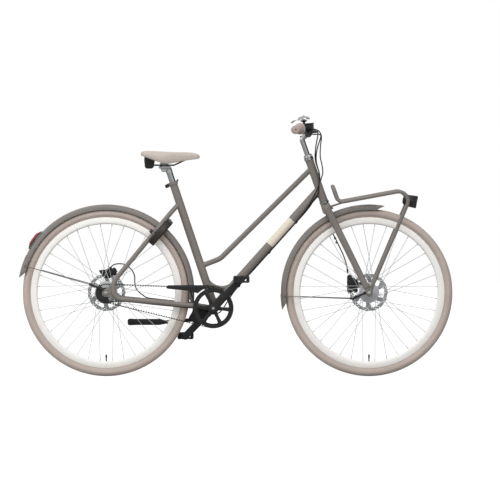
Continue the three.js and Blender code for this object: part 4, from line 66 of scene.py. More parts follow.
HEAD_ANGLE = radians(70.5)
SEAT_ANGLE = radians(71.5)
FORK_OFFSET = 0.0507
SEAT_TUBE_LEAD = 0.006
HEAD_FOOT = 424
HEAD_TOP = 608
HEAD_LIP = 0.0008
HEAD_BORE = 0.0156
HEAD_RADIUS = 0.0175
SEAT_TUBE_LENGTH = 0.555
SEAT_TUBE_RADIUS = 0.017
SEAT_TUBE_BORE = 0.0139
DOWN_TUBE_RADIUS = 0.0175
DOWN_TUBE_HEAD = 55
TOP_TUBE_RADIUS = 0.0111
TOP_TUBE_SEAT = 0.184
TOP_TUBE_FOOT = 0.087
TOP_TUBE_FOOT_ANGLE = radians(21)
TOP_TUBE_BEND = 0.070
TOP_TUBE_HEAD = 150
SHELL_RADIUS = 0.0225
SHELL_WIDTH = 0.073
SHELL_BORE = 0.0196
GUSSET_RADIUS = 0.074
GUSSET_TUBE = 0.009
GUSSET_BURY = 0.004
STAY_RADIUS = 0.010
DROPOUT_THICKNESS = 0.006
REAR_DROPOUT_SIDE = 0.0705
FRONT_DROPOUT_SIDE = 0.053
STAND_BOSS = 0.013
RIM_OUTER = 0.317
RIM_INNER = 0.288
RIM_WIDTH = 0.026
RIM_CROWN_DEPTH = 0.007
TYRE_WIDTH = 0.040
SPOKES_PER_SIDE = 18
SPOKE_RADIUS = 0.0011
SPOKE_CROSS = radians(42)
VALVE_ANGLE = -90
VALVE_REACH = 0.028
FRONT_FLANGE = (0.042, 0.027)
REAR_FLANGE = (0.047, 0.031)
FRONT_DISC_SIDE = 0.036
REAR_DISC_SIDE = 0.052
DISC_THICKNESS = 0.0018
DISC_BORE = 0.0174
DISC_RADIUS = 0.080
DISC_WAVE_DEPTH = 0.0024
DISC_WAVES = 15
GUARD_HALF = 0.026
GUARD_DEPTH = 0.0225
GUARD_WALL = 0.0014
FLAP_WALL = 0.0022
FENDER_CROWN = 0.3707
FLAP_CROWN = 0.3722
LENS_CROWN = 0.3756
BAR_RADIUS = 0.0111
BAR_CLAMP = (33, 0, 714)
BAR_SHOULDER = (33, 48, 714)
BAR_ELBOW = (12, 156, 745)
BAR_TIP = (-12, 312, 748)
QUILL_RADIUS = 0.0109
POST_RADIUS = 0.0134
COLLAR_UP = 0.5505
CABLE_RADIUS = 0.0025
RACK_TUBE = 0.008
RACK_ROD = 0.004
RACK_HALF = 112
RACK_BACK = (56, 401)
RACK_FRONT = (373, 351)
RACK_RISE = 70
RACK_LAMP_ROD = (331, 306)
LAMP_PLACE = (351, 0, 300)
LAMP_DIP = 30.2
FENDER_WIRE = 0.0018
CRANK_ANGLE = radians(46)
CRANK_LENGTH = 170
ARM_THICKNESS = 0.0138
ARM_SIDE = 0.074
PEDAL_SPINDLE = 0.0062
PEDAL_SHIFT = 258
STAND_SIDE = 45
LOCK_TURN = radians(48.7)

NOWHERE = Vector((0, 0, 0))
AHEAD = Vector((1, 0, 0))
ACROSS = Vector((0, 1, 0))
UP = Vector((0, 0, 1))


def middle(node):
    """The middle of a CAD node's box."""
    low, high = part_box(node)
    return (low + high) / 2


REAR_AXLE = middle("rear_tyre")
FRONT_AXLE = middle("front_tyre")
CRANK = middle("bottom_bracket")
CRANK_HEIGHT = CRANK.z * 1000
CRANK_MARK = (CRANK.x, 0)
CRANK_CENTRE = (CRANK.x, CRANK.z)
TYRE_RADIUS = REAR_AXLE.z
STEER_UP = Vector((-cos(HEAD_ANGLE), 0, sin(HEAD_ANGLE)))
STEER_FORWARD = Vector((sin(HEAD_ANGLE), 0, cos(HEAD_ANGLE)))
STEER_ORIGIN = FRONT_AXLE - STEER_FORWARD * FORK_OFFSET
SEAT_UP = Vector((-cos(SEAT_ANGLE), 0, sin(SEAT_ANGLE)))
SEAT_FORWARD = Vector((sin(SEAT_ANGLE), 0, cos(SEAT_ANGLE)))
SEAT_ORIGIN = CRANK + AHEAD * SEAT_TUBE_LEAD


def steer(forward, side, up):
    """A place on the steering grid, in millimetres: ahead of its axis, to the left, along the axis."""
    return STEER_ORIGIN + STEER_FORWARD * (forward / 1000) + STEER_UP * (up / 1000) + ACROSS * (side / 1000)


def seat_point(up):
    """A place on the seat tube's axis, in metres from its foot."""
    return SEAT_ORIGIN + SEAT_UP * up


def spot(x, y, z):
    """A place in millimetres: forward of the crank's axis, to the left, above the ground."""
    return Vector((CRANK.x + x / 1000, y / 1000, z / 1000))


def dipped(angle):
    """The steering grid's forward way, dipped by an angle in degrees."""
    return STEER_FORWARD * cos(radians(angle)) - STEER_UP * sin(radians(angle))


DOWN_HEAD = steer(0, 0, HEAD_FOOT + DOWN_TUBE_HEAD)
DOWN_RUN = (DOWN_HEAD - CRANK).normalized()
DOWN_RISE = Vector((-DOWN_RUN.z, 0, DOWN_RUN.x))
BAND_START = CRANK + DOWN_RUN * 0.355
BAND_LENGTH = 0.140
TREAD_HALF = 0.013
TREAD_BLOCKS = 130

# Materials


def tone(code):
    """A colour written as on a colour card, as Blender's own linear values."""
    channels = [int(code[i:i + 2], 16) / 255 for i in (0, 2, 4)]
    linear = [c / 12.92 if c <= 0.04045 else ((c + 0.055) / 1.055) ** 2.4 for c in channels]
    return (*linear, 1)


class Field:
    """A node's output that takes part in plain sums; each sum adds its Math node."""

    def __init__(self, finish, socket):
        self.finish = finish
        self.socket = socket

    def sum(self, operation, *values):
        """One Math node over these values."""
        return self.finish.add("ShaderNodeMath", {"operation": operation}, dict(enumerate(values)))

    def __add__(self, other):
        return self.sum("ADD", self, other)

    __radd__ = __add__

    def __sub__(self, other):
        return self.sum("SUBTRACT", self, other)

    def __rsub__(self, other):
        return self.sum("SUBTRACT", other, self)

    def __mul__(self, other):
        return self.sum("MULTIPLY", self, other)

    __rmul__ = __mul__

    def __gt__(self, other):
        return self.sum("GREATER_THAN", self, other)

    def __lt__(self, other):
        return self.sum("LESS_THAN", self, other)

    def __pow__(self, other):
        return self.sum("POWER", self, other)

    def wave(self):
        """Its sine."""
        return self.sum("SINE", self)

    def size(self):
        """Its absolute value."""
        return self.sum("ABSOLUTE", self)


class Finish:
    """A material on the Principled shader, with its nodes added in plain calls."""

    def __init__(self, name, colour, roughness, metallic=0.0, **shader):
        self.material = bpy.data.materials.new(name)
        self.material.use_nodes = True
        self.tree = self.material.node_tree
        self.shader = self.tree.nodes["Principled BSDF"]
        self.colour = tone(colour)
        self.set("Base Color", self.colour)
        self.set("Roughness", roughness)
        self.set("Metallic", metallic)
        for socket, value in shader.items():
            self.set(socket.replace("_", " "), value)
        self.place = self.add("ShaderNodeTexCoord", output="Object")

    def add(self, kind, settings=None, sockets=None, output=0):
        """Adds a node, fed by values or by other nodes, and gives back one output."""
        node = self.tree.nodes.new(kind)
        for key, value in (settings or {}).items():
            setattr(node, key, value)
        for key, value in (sockets or {}).items():
            if isinstance(value, Field):
                self.tree.links.new(value.socket, node.inputs[key])
            else:
                node.inputs[key].default_value = value
        return Field(self, node.outputs[output])

    def set(self, socket, value):
        """Feeds a socket of the shader, with a value or a node."""
        if isinstance(value, Field):
            self.tree.links.new(value.socket, self.shader.inputs[socket])
        else:
            self.shader.inputs[socket].default_value = value

    def parts(self, vector):
        """A vector's three coordinates."""
        first = self.add("ShaderNodeSeparateXYZ", sockets={0: vector})
        return [Field(self, out) for out in first.socket.node.outputs]

    def noise(self, scale, detail=2.0, at=None):
        """Soft noise from about 0.3 to 0.7."""
        sockets = {"Vector": at or self.place, "Scale": scale, "Detail": detail}
        return self.add("ShaderNodeTexNoise", {}, sockets, "Fac")

    def cells(self, scale):
        """Distances inside small random cells."""
        sockets = {"Vector": self.place, "Scale": scale}
        return self.add("ShaderNodeTexVoronoi", {"feature": "F1"}, sockets, "Distance")

    def vector(self, operation, first, second, output="Vector"):
        """One vector sum of two places."""
        return self.add("ShaderNodeVectorMath", {"operation": operation}, {0: first, 1: second}, output)

    def dot(self, first, second):
        """How far one place lies along another."""
        return self.vector("DOT_PRODUCT", first, second, "Value")

    def mixed(self, share, low, high):
        """A colour between two, which are fields, values or codes, by a share from 0 to 1."""
        low, high = (tone(colour) if isinstance(colour, str) else colour for colour in (low, high))
        settings = {"data_type": "RGBA", "clamp_factor": True}
        return self.add("ShaderNodeMix", settings, {0: share, 6: low, 7: high}, 2)

    def level(self, value, low, high):
        """A noise of about 0.3 to 0.7, brought to a range."""
        sockets = {"Value": value, "From Min": 0.3, "From Max": 0.7, "To Min": low, "To Max": high}
        return self.add("ShaderNodeMapRange", {}, sockets)

    def bump(self, height, distance):
        """Raises the surface by a height field."""
        sockets = {"Height": height, "Distance": distance, "Strength": 1.0}
        self.set("Normal", self.add("ShaderNodeBump", {}, sockets))

    def shades(self, scale, detail, other, spread):
        """Lets the colour drift a little towards another."""
        share = self.level(self.noise(scale, detail), 0.5 - spread / 2, 0.5 + spread / 2)
        self.tint(share, self.colour, other)

    def tint(self, share, low, high):
        """Colours the surface between two colours."""
        self.set("Base Color", self.mixed(share, low, high))

    def roughened(self, scale, detail, low, high):
        """Lets the roughness drift between two values."""
        self.set("Roughness", self.level(self.noise(scale, detail), low, high))


def powder_coat(name, colour, other):
    """Matte powder coat: a fine orange peel and a faint drift of tone."""
    finish = Finish(name, colour, 0.5, Coat_Weight=0.12, Coat_Roughness=0.35)
    finish.shades(9, 3, other, 0.7)
    finish.roughened(60, 3, 0.43, 0.56)
    finish.bump(finish.noise(1500) * 0.6 + finish.noise(420, 1) * 0.4, 0.00006)
    return finish


def frame_coat():
    """The frame's coat, with a plain pale band round the down tube."""
    finish = powder_coat("frame_coat", "7a746f", "827c76")
    coat = Field(finish, finish.shader.inputs["Base Color"].links[0].from_socket)
    away = finish.vector("SUBTRACT", finish.place, tuple(BAND_START))
    along = finish.dot(away, tuple(DOWN_RUN))
    rise = finish.dot(away, tuple(DOWN_RISE))
    inside = (along > 0) * (along < BAND_LENGTH) * (rise.size() < DOWN_TUBE_RADIUS * 1.2)
    pale = finish.mixed(finish.level(finish.noise(260), 0.0, 1.0), "e3d9c6", "ece3d2")
    finish.tint(inside, coat, pale)
    return finish


def satin_black(name, colour, other, roughness):
    """Black coated metal with a fine texture."""
    finish = Finish(name, colour, roughness, Specular_IOR_Level=0.5)
    finish.shades(40, 3, other, 0.8)
    finish.roughened(220, 3, roughness - 0.06, roughness + 0.08)
    finish.bump(finish.noise(2200), 0.00004)
    return finish


def moulded_black():
    """Spark-eroded black plastic."""
    finish = Finish("moulded_black", "0d0d0e", 0.55)
    finish.shades(30, 2, "1a1a1b", 0.7)
    finish.roughened(300, 2, 0.48, 0.66)
    finish.bump(finish.cells(1700) * 0.5 + finish.noise(2600, 1) * 0.5, 0.00008)
    return finish


def polished_metal(name, colour, roughness, grain=(1, 1, 12)):
    """Polished or drawn metal with faint drawing marks."""
    finish = Finish(name, colour, roughness, 1.0)
    stretched = finish.add("ShaderNodeMapping", {}, {"Vector": finish.place, "Scale": grain})
    marks = finish.noise(240, 3, stretched)
    finish.set("Roughness", finish.level(marks, roughness - 0.05, roughness + 0.09))
    finish.shades(25, 2, "b4b6b8", 0.3)
    finish.bump(marks, 0.00002)
    return finish


def disc_steel(name, centre):
    """Brake disc steel, ground round the axle."""
    finish = Finish(name, "a6a8aa", 0.3, 1.0)
    x, y, z = finish.parts(finish.vector("SUBTRACT", finish.place, tuple(centre)))
    reach = (x * x + z * z) ** 0.5
    rings = finish.add("ShaderNodeCombineXYZ", {}, {0: reach, 1: y * 0.2, 2: 0.0})
    marks = finish.noise(2600, 2, rings)
    finish.set("Roughness", finish.level(marks, 0.22, 0.42))
    finish.tint(finish.level(marks, 0.0, 1.0), "8f9193", "b4b6b8")
    finish.bump(marks, 0.00003)
    return finish


def rim_enamel():
    """Cream enamel on the rims."""
    finish = Finish("rim_enamel", "fefcf8", 0.32, Coat_Weight=0.25, Coat_Roughness=0.15)
    finish.shades(14, 2, "fcf9f4", 0.8)
    finish.roughened(90, 2, 0.27, 0.38)
    finish.bump(finish.noise(700), 0.00003)
    return finish


def tyre_rubber(name, centre):
    """Pale rubber: cross grooves on the tread and fine moulded rings on the walls, both with painted shade in
    them, and a little dust.
    """
    finish = Finish(name, "bcb0a6", 0.78, Sheen_Weight=0.15, Sheen_Roughness=0.5)
    x, y, z = finish.parts(finish.vector("SUBTRACT", finish.place, tuple(centre)))
    reach = (x * x + z * z) ** 0.5
    angle = finish.add("ShaderNodeMath", {"operation": "ARCTAN2"}, {0: z, 1: x})
    tread = y.size() < TREAD_HALF
    slant = angle * TREAD_BLOCKS + y.size() * 420
    sipes = slant.wave() > 0.82
    on_tread = tread * (reach > TYRE_RADIUS - 0.012)
    walls = (1 - on_tread) * ((reach * 2600).wave() > 0.55) * (reach > RIM_OUTER + 0.004)
    walls = walls * (reach < RIM_OUTER + 0.010)
    grooves_and_painted_shade = on_tread * sipes + walls * 0.35
    dust = finish.level(finish.noise(11, 4), 0.0, 1.0)
    pale = finish.mixed(dust, "bbada4", "c4b6ad")
    # Painted shade: the grooves and wall rings are tinted darker, as if shaded in their recesses, besides
    # their bump.
    finish.tint(grooves_and_painted_shade * 0.45, pale, "85776f")
    finish.roughened(120, 3, 0.72, 0.88)
    finish.bump(finish.noise(1300) * 0.15 - grooves_and_painted_shade, 0.0005)
    return finish


def grip_rubber():
    """Pale pebbled rubber of the grips."""
    finish = Finish("grip_rubber", "b3a59b", 0.7, Sheen_Weight=0.1)
    finish.shades(50, 3, "a89a90", 0.8)
    finish.roughened(300, 2, 0.62, 0.8)
    finish.bump(finish.cells(900), 0.00012)
    return finish


def black_rubber():
    """Plain black rubber of cables, belt and bumper."""
    finish = Finish("black_rubber", "0f0f0f", 0.6)
    finish.shades(60, 2, "161616", 0.8)
    finish.roughened(400, 2, 0.52, 0.7)
    finish.bump(finish.noise(1800), 0.00005)
    return finish


def saddle_hide():
    """Pale grained imitation leather."""
    finish = Finish("saddle_hide", "c9beb5", 0.55, Sheen_Weight=0.2, Sheen_Roughness=0.5)
    finish.shades(16, 4, "beb2a8", 0.9)
    creases = finish.cells(620) * 0.7 + finish.noise(900, 3) * 0.5
    finish.roughened(180, 3, 0.48, 0.64)
    finish.bump(creases, 0.00025)
    return finish


def tail_lens():
    """Clear red moulding with a prism pattern behind it."""
    finish = Finish("tail_lens", "8c1d1b", 0.14, Coat_Weight=0.6, Coat_Roughness=0.05)
    x, y, z = finish.parts(finish.place)
    prisms = ((x + z) * 900).wave() * ((x - z) * 900).wave() + (y * 1100).wave() * 0.3
    finish.tint(finish.level(prisms, 0.0, 1.0), "74100f", "b3302b")
    finish.bump(prisms, 0.00015)
    return finish


def lamp_glass():
    """Clear fluted lens."""
    finish = Finish("lamp_glass", "dfe4e8", 0.08, Coat_Weight=0.8, Coat_Roughness=0.03)
    _, y, z = finish.parts(finish.place)
    flutes = (y * 1600).wave() * 0.5 + (z * 700).wave() * 0.5
    finish.tint(finish.level(flutes, 0.0, 1.0), "aeb4b9", "f1f4f6")
    finish.bump(flutes, 0.0002)
    return finish


# Shaping


def alone(piece):
    """Makes a piece the only one selected, and the active one."""
    bpy.ops.object.select_all(action="DESELECT")
    piece.select_set(True)
    bpy.context.view_layer.objects.active = piece
    return piece


def merged(piece):
    """Joins doubled points and turns the faces outwards."""
    return edited(
        piece,
        (bpy.ops.mesh.remove_doubles, {"threshold": 0.000002}),
        (bpy.ops.mesh.delete_loose, {"use_verts": True, "use_edges": True, "use_faces": False}),
        (bpy.ops.mesh.normals_make_consistent, {"inside": False}),
    )


def applied(piece, kind, **settings):
    """Adds a modifier and applies it."""
    alone(piece)
    modifier = piece.modifiers.new(kind.lower(), kind)
    for key, value in settings.items():
        setattr(modifier, key, value)
    bpy.ops.object.modifier_apply(modifier=modifier.name)
    return piece


def made(operator, **settings):
    """The object that an operator adds."""
    bpy.ops.object.select_all(action="DESELECT")
    operator(**settings)
    return bpy.context.object


def edited(piece, *steps):
    """Works on a piece's whole mesh: each step is an operator and its settings."""
    alone(piece)
    bpy.ops.object.mode_set(mode="EDIT")
    for operator, settings in steps:
        bpy.ops.mesh.select_all(action="SELECT")
        operator(**settings)
    bpy.ops.object.mode_set(mode="OBJECT")
    return piece


def joined(pieces):
    """Joins pieces into the first one."""
    bpy.ops.object.select_all(action="DESELECT")
    for piece in pieces:
        piece.select_set(True)
    bpy.context.view_layer.objects.active = pieces[0]
    bpy.ops.object.join()
    return pieces[0]


def dressed(piece, name, finish, body, angle=35):
    """Names a finished piece, shades it, and sets it on its body."""
    piece.name = name
    piece.data.name = name
    piece.data.materials.clear()
    piece.data.materials.append(finish.material)
    alone(piece)
    bpy.ops.object.shade_smooth_by_angle(angle=radians(angle))
    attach(piece, body)
    return piece


def rebuilt(piece, name, finish, node, angle=35):
    """Dresses a piece that shows in a CAD node's place, with that node's body."""
    dressed(piece, name, finish, frame["nodes"][node]["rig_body"], angle)
    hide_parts(node)
    REBUILT.add(node)
    return piece


def grid(origin, ahead, across):
    """The matrix of a grid with its X and Y along two ways, and its Z upright to both."""
    third = ahead.cross(across).normalized()
    turn = Matrix((ahead, across, third)).transposed().to_4x4()
    return Matrix.Translation(origin) @ turn


def upright(origin, axis):
    """The matrix that sets an upright form on an axis."""
    turn = UP.rotation_difference(Vector(axis).normalized()).to_matrix().to_4x4()
    return Matrix.Translation(origin) @ turn


def set_on(piece, matrix):
    """Moves a piece's mesh onto a grid."""
    piece.data.transform(matrix)
    return piece


def turned(profile, start, axis, steps):
    """A turned piece: its profile is points of (along the axis, radius), closed on itself."""
    piece = loop_of([(radius, 0, along) for along, radius in profile])
    edited(piece, (bpy.ops.mesh.spin, {"steps": steps, "angle": 2 * pi, "center": NOWHERE, "axis": UP}))
    return merged(set_on(piece, upright(start, axis)))


def rod(start, end, radius, sides=24, end_radius=None):
    """A straight rod from one point to another, or a taper to its end radius."""
    run = Vector(end) - Vector(start)
    tip = radius if end_radius is None else end_radius
    cone = bpy.ops.mesh.primitive_cone_add
    piece = made(cone, vertices=sides, radius1=radius, radius2=tip, depth=run.length)
    return set_on(piece, upright((Vector(start) + Vector(end)) / 2, run))


def rounded(corners, bends, steps=10):
    """A path with straight runs and round bends, one radius for all or one for each corner."""
    points = [Vector(corners[0])]
    for i in range(1, len(corners) - 1):
        bend = bends[i - 1] if isinstance(bends, list) else bends
        here = Vector(corners[i])
        inward = (here - Vector(corners[i - 1])).normalized()
        onward = (Vector(corners[i + 1]) - here).normalized()
        angle = inward.angle(onward)
        start = here - inward * bend * tan(angle / 2)
        side = (onward - inward * onward.dot(inward)).normalized()
        centre = start + side * bend
        for k in range(steps + 1):
            turn = angle * k / steps
            points.append(centre - side * bend * cos(turn) + inward * bend * sin(turn))
    points.append(Vector(corners[-1]))
    return points


def solid(curve):
    """The mesh of a curve."""
    alone(curve)
    bpy.ops.object.convert(target="MESH")
    return merged(bpy.context.object)


def tube(points, radius, sides=24):
    """A round tube along a path, with closed ends."""
    curve = made(bpy.ops.curve.primitive_nurbs_path_add)
    line = curve.data
    line.splines.clear()
    spline = line.splines.new("POLY")
    spline.points.add(len(points) - 1)
    for point, place in zip(spline.points, points):
        point.co = (*place, 1)
    line.bevel_depth = radius
    line.bevel_resolution = (sides - 4) // 2
    line.use_fill_caps = True
    return solid(curve)


def plate(outlines, thickness, middle_y, bevel=0.0, centre=(0, 0)):
    """A flat piece across the bicycle, from its outline and the outlines of its holes in X and Z."""
    curve = made(bpy.ops.curve.primitive_bezier_circle_add)
    line = curve.data
    line.dimensions = "2D"
    line.fill_mode = "BOTH"
    line.splines.clear()
    for outline in outlines:
        spline = line.splines.new("POLY")
        spline.points.add(len(outline) - 1)
        spline.use_cyclic_u = True
        for point, (x, z) in zip(spline.points, outline):
            point.co = (x + centre[0], z + centre[1], 0, 1)
    line.extrude = thickness / 2 - bevel
    line.bevel_depth = bevel
    line.bevel_resolution = 2
    line.offset = -bevel
    return set_on(solid(curve), Matrix.Translation((0, middle_y, 0)) @ Matrix.Rotation(pi / 2, 4, "X"))


def polar(radius, angle, centre=(0, 0)):
    """A point at an angle in degrees, in a plane."""
    return (centre[0] + radius * cos(radians(angle)), centre[1] + radius * sin(radians(angle)))


def arc(radius, start, end, steps, centre=(0, 0)):
    """Points of an arc, its angles in degrees."""
    return [polar(radius, start + (end - start) * i / steps, centre) for i in range(steps + 1)]


def ring(radius, steps=64, centre=(0, 0)):
    """Points of a full circle."""
    return arc(radius, 0, 360 * (1 - 1 / steps), steps - 1, centre)


def fused(pieces, grain, rounds=6):
    """Welds overlapping pieces into one skin with small fillets where they meet."""
    piece = joined(pieces)
    applied(piece, "REMESH", mode="VOXEL", voxel_size=grain, adaptivity=0)
    applied(piece, "SMOOTH", factor=0.5, iterations=rounds)
    return piece


def smooth_copy(node, bevel, angle):
    """A CAD node's own form with its small edges rounded, for pieces whose shape is right as it is."""
    piece = bpy.data.objects.new(node + "_form", frame["nodes"][node].data.copy())
    bpy.context.scene.collection.objects.link(piece)
    edited(
        piece,
        (bpy.ops.mesh.remove_doubles, {"threshold": 0.00001}),
        (bpy.ops.mesh.dissolve_limited, {"angle_limit": radians(3)}),
    )
    return applied(piece, "BEVEL", width=bevel, segments=2, limit_method="ANGLE", angle_limit=radians(angle))


def kept(node, finish, bevel, angle=38):
    """Dresses a rounded copy of a CAD node in its place."""
    return rebuilt(smooth_copy(node, bevel, angle), node + "_finished", finish, node, angle)


def flowing(points, steps=6):
    """A smooth curve through given points, as a fine row of points."""
    rows = [points[0] * 2 - points[1], *points, points[-1] * 2 - points[-2]]
    line = []
    for a, b, c, d in zip(rows, rows[1:], rows[2:], rows[3:]):
        knots = [0.0]
        for p, q in ((a, b), (b, c), (c, d)):
            knots.append(knots[-1] + sqrt((q - p).length))
        for i in range(steps):
            t = knots[1] + (knots[2] - knots[1]) * i / steps
            first = a.lerp(b, (t - knots[0]) / (knots[1] - knots[0]))
            second = b.lerp(c, (t - knots[1]) / (knots[2] - knots[1]))
            third = c.lerp(d, (t - knots[2]) / (knots[3] - knots[2]))
            low = first.lerp(second, (t - knots[0]) / (knots[2] - knots[0]))
            high = second.lerp(third, (t - knots[1]) / (knots[3] - knots[1]))
            line.append(low.lerp(high, (t - knots[1]) / (knots[2] - knots[1])))
    line.append(points[-1].copy())
    return line


def ends_filled():
    """In edit mode: closes each open edge loop with one face."""
    bpy.ops.mesh.select_all(action="DESELECT")
    bpy.ops.mesh.select_non_manifold(
        extend=False, use_wire=False, use_multi_face=False, use_non_contiguous=False, use_verts=False
    )
    bpy.ops.mesh.edge_face_add()


def loop_of(points):
    """A closed loop of edges through points."""
    loop = made(bpy.ops.mesh.primitive_circle_add, vertices=len(points), fill_type="NOTHING")
    for vertex, point in zip(loop.data.vertices, points):
        vertex.co = point
    return loop


def lofted(rings):
    """A skin through closed rings of points, with filled ends."""
    return edited(
        joined([loop_of(points) for points in rings]),
        (bpy.ops.mesh.bridge_edge_loops, {"type": "SINGLE"}),
        (ends_filled, {}),
        (bpy.ops.mesh.normals_make_consistent, {"inside": False}),
    )


def block(low, high, bevel):
    """A box between two corners, in metres, with rounded edges."""
    low = Vector(low)
    high = Vector(high)
    piece = made(bpy.ops.mesh.primitive_cube_add, size=1)
    set_on(piece, Matrix.Translation((low + high) / 2) @ Matrix.Diagonal((*(high - low), 1)))
    return applied(piece, "BEVEL", width=bevel, segments=3)


def mm(*points):
    """Points given in millimetres, as pairs in metres."""
    return [(x / 1000, z / 1000) for x, z in points]


def mirrored(half, flip=(-1, 1)):
    """Half an outline and its mirror image, in one round."""
    return half + [(a * flip[0], b * flip[1]) for a, b in half[::-1]]


def swung(shape, angle):
    """An outline turned about its own origin."""
    return [(x * cos(angle) - z * sin(angle), x * sin(angle) + z * cos(angle)) for x, z in shape]


# Finishes

COAT_FRAME = frame_coat()
COAT = powder_coat("powder_coat", "7a746f", "827c76")
COAT_DARK = powder_coat("wire_coat", "6b6763", "73706b")
BLACK = satin_black("black_metal_coat", "0b0b0c", "121214", 0.36)
PLASTIC = moulded_black()
SILVER = polished_metal("polished_alloy", "a9abad", 0.2)
CAST = polished_metal("cast_alloy", "bcbec0", 0.4, (1, 1, 1))
CAST.set("Metallic", 0.75)
STEEL = polished_metal("spoke_steel", "d9dadb", 0.35)
STEEL.set("Metallic", 0.3)
CREAM = rim_enamel()
GRIP = grip_rubber()
RUBBER = black_rubber()
HIDE = saddle_hide()
RED = tail_lens()
GLASS = lamp_glass()

# Wheels


def around(centre, radius, angle, side):
    """A point beside a wheel's axle, by its angle in degrees from +X towards +Z."""
    return centre + Vector((radius * cos(radians(angle)), side, radius * sin(radians(angle))))


def tyre(name, centre):
    """A tyre with a rounded section and open beads seated in the rim."""
    bead = RIM_WIDTH / 2 - 0.0025
    middle_radius = RIM_OUTER + 0.0165
    height = TYRE_RADIUS - middle_radius
    section = [
        (TYRE_WIDTH / 2 * cos(radians(angle)), middle_radius + height * sin(radians(angle)))
        for angle in range(-52, 233, 8)
    ]
    foot = [(bead, RIM_OUTER - 0.0085), (bead, RIM_OUTER)]
    back = [(-side, radius) for side, radius in foot[::-1]]
    piece = turned([*foot, *section, *back, (0, RIM_OUTER - 0.003)], centre, ACROSS, 180)
    finish = tyre_rubber(name + "_rubber", centre)
    return rebuilt(piece, name + "_casing", finish, name)


def rim(name, centre, body):
    """A deep rim with a rounded crown, a bed between its walls and hooked edges."""
    half = RIM_WIDTH / 2
    crown = [
        (half * sin(radians(angle)), RIM_INNER + RIM_CROWN_DEPTH * (1 - cos(radians(angle))))
        for angle in range(-80, 81, 10)
    ]
    wall = [
        (half, RIM_INNER + RIM_CROWN_DEPTH + 0.004), (half, RIM_OUTER - 0.001), (half - 0.0008, RIM_OUTER),
        (half - 0.0018, RIM_OUTER), (half - 0.0022, RIM_OUTER - 0.001), (half - 0.0022, RIM_OUTER - 0.009),
        (half - 0.006, RIM_OUTER - 0.0105), (0.002, RIM_OUTER - 0.0125),
    ]
    piece = turned(crown + mirrored(wall), centre, ACROSS, 180)
    rebuilt(piece, name + "_hoop", CREAM, name, 40)
    foot = around(centre, RIM_INNER + 0.004, VALVE_ANGLE, 0)
    tip = around(centre, RIM_INNER - VALVE_REACH, VALVE_ANGLE, 0)
    valve = turned(mm(
        (0, 0), (0, 4.2), (4, 4.2), (4.6, 2.6), (16, 2.6), (16.6, 3.6), (17.6, 3.6), (18.2, 3.6),
        (31.6, 3.6), (32, 3), (32, 0),
    ), foot, tip - foot, 24)
    dressed(valve, name + "_valve", RUBBER, body)


def spoke_ends(flange_radius, flange_offset):
    """For each spoke: its ends at the flange and the rim, as (radius, angle, side) twice."""
    ends = []
    for side in (-1, 1):
        for i in range(SPOKES_PER_SIDE):
            rim_angle = VALVE_ANGLE + (i + side / 4) * 360 / SPOKES_PER_SIDE
            way = -side if i % 2 else side
            hub_angle = rim_angle + way * degrees(SPOKE_CROSS)
            layer = way * (SPOKE_RADIUS + 0.0004)
            ends.append((
                (flange_radius - 0.004, hub_angle, side * flange_offset + layer),
                (RIM_INNER + 0.001, rim_angle, side * 0.0032 + layer),
            ))
    return ends


def spokes(name, centre, body, flange_radius, flange_offset):
    """Thirty-six crossed steel spokes with their bent heads, and nipples at the rim."""
    wires = []
    nipples = []
    for hub_end, rim_end in spoke_ends(flange_radius, flange_offset):
        root = around(centre, *hub_end)
        tip = around(centre, *rim_end)
        inner = around(centre, hub_end[0], hub_end[1], 0)
        into = (inner - root).normalized() * 0.0045
        wires.append(rod(root, tip, SPOKE_RADIUS, 8))
        wires.append(rod(root - into * 0.3, root + into, SPOKE_RADIUS * 1.15, 8))
        run = (root - tip).normalized()
        nipples.append(rod(tip - run * 0.001, tip + run * 0.012, 0.0019, 8, 0.0016))
    dressed(joined(wires), name + "_spokes", STEEL, body)
    dressed(joined(nipples), name + "_nipples", STEEL, body)


def front_hub():
    """The generator hub: a drum between two flanges, with stepped end caps."""
    shell = turned(mm(
        (-46.2, 5.2), (-46.2, 12), (-44, 13), (-36, 15), (-33.5, 23.5), (-31, 30), (-30.5, 32.5),
        (-29.6, 33), (-29, 40.5), (-28.2, 42), (-25.4, 42), (-24.8, 41.2), (-23.8, 38.2), (-22, 37.2),
        (22, 37.2), (23.8, 38.2), (24.8, 41.2), (25.4, 42), (28.2, 42), (29, 40.8), (30, 33), (31.5, 21.5),
        (34.5, 21), (34.8, 17), (40, 16.6), (46.2, 13), (46.2, 5.2),
    ), FRONT_AXLE, ACROSS, 96)
    rebuilt(shell, "front_hub_drum", CAST, "front_hub", 30)


def rear_hub():
    """The gear hub: a wide shell with its flanges, driver and brake boss."""
    shell = turned(mm(
        (-63.6, 5.3), (-63.6, 16.5), (-63, 17), (-48.7, 17), (-48.5, 30), (-47, 37), (-44, 39.2),
        (-34.5, 40), (-33.2, 46.2), (-32.4, 47), (-29.6, 47), (-28.8, 46.2), (-27, 43.6), (-24, 43),
        (24, 43), (27, 43.6), (28.8, 46.2), (29.6, 47), (32.4, 47), (33.2, 46), (34.2, 30), (37, 21.5),
        (50.5, 21), (50.8, 17), (56, 16.6), (63.6, 13), (63.6, 5.3),
    ), REAR_AXLE, ACROSS, 96)
    rebuilt(shell, "rear_hub_shell", CAST, "rear_hub", 30)


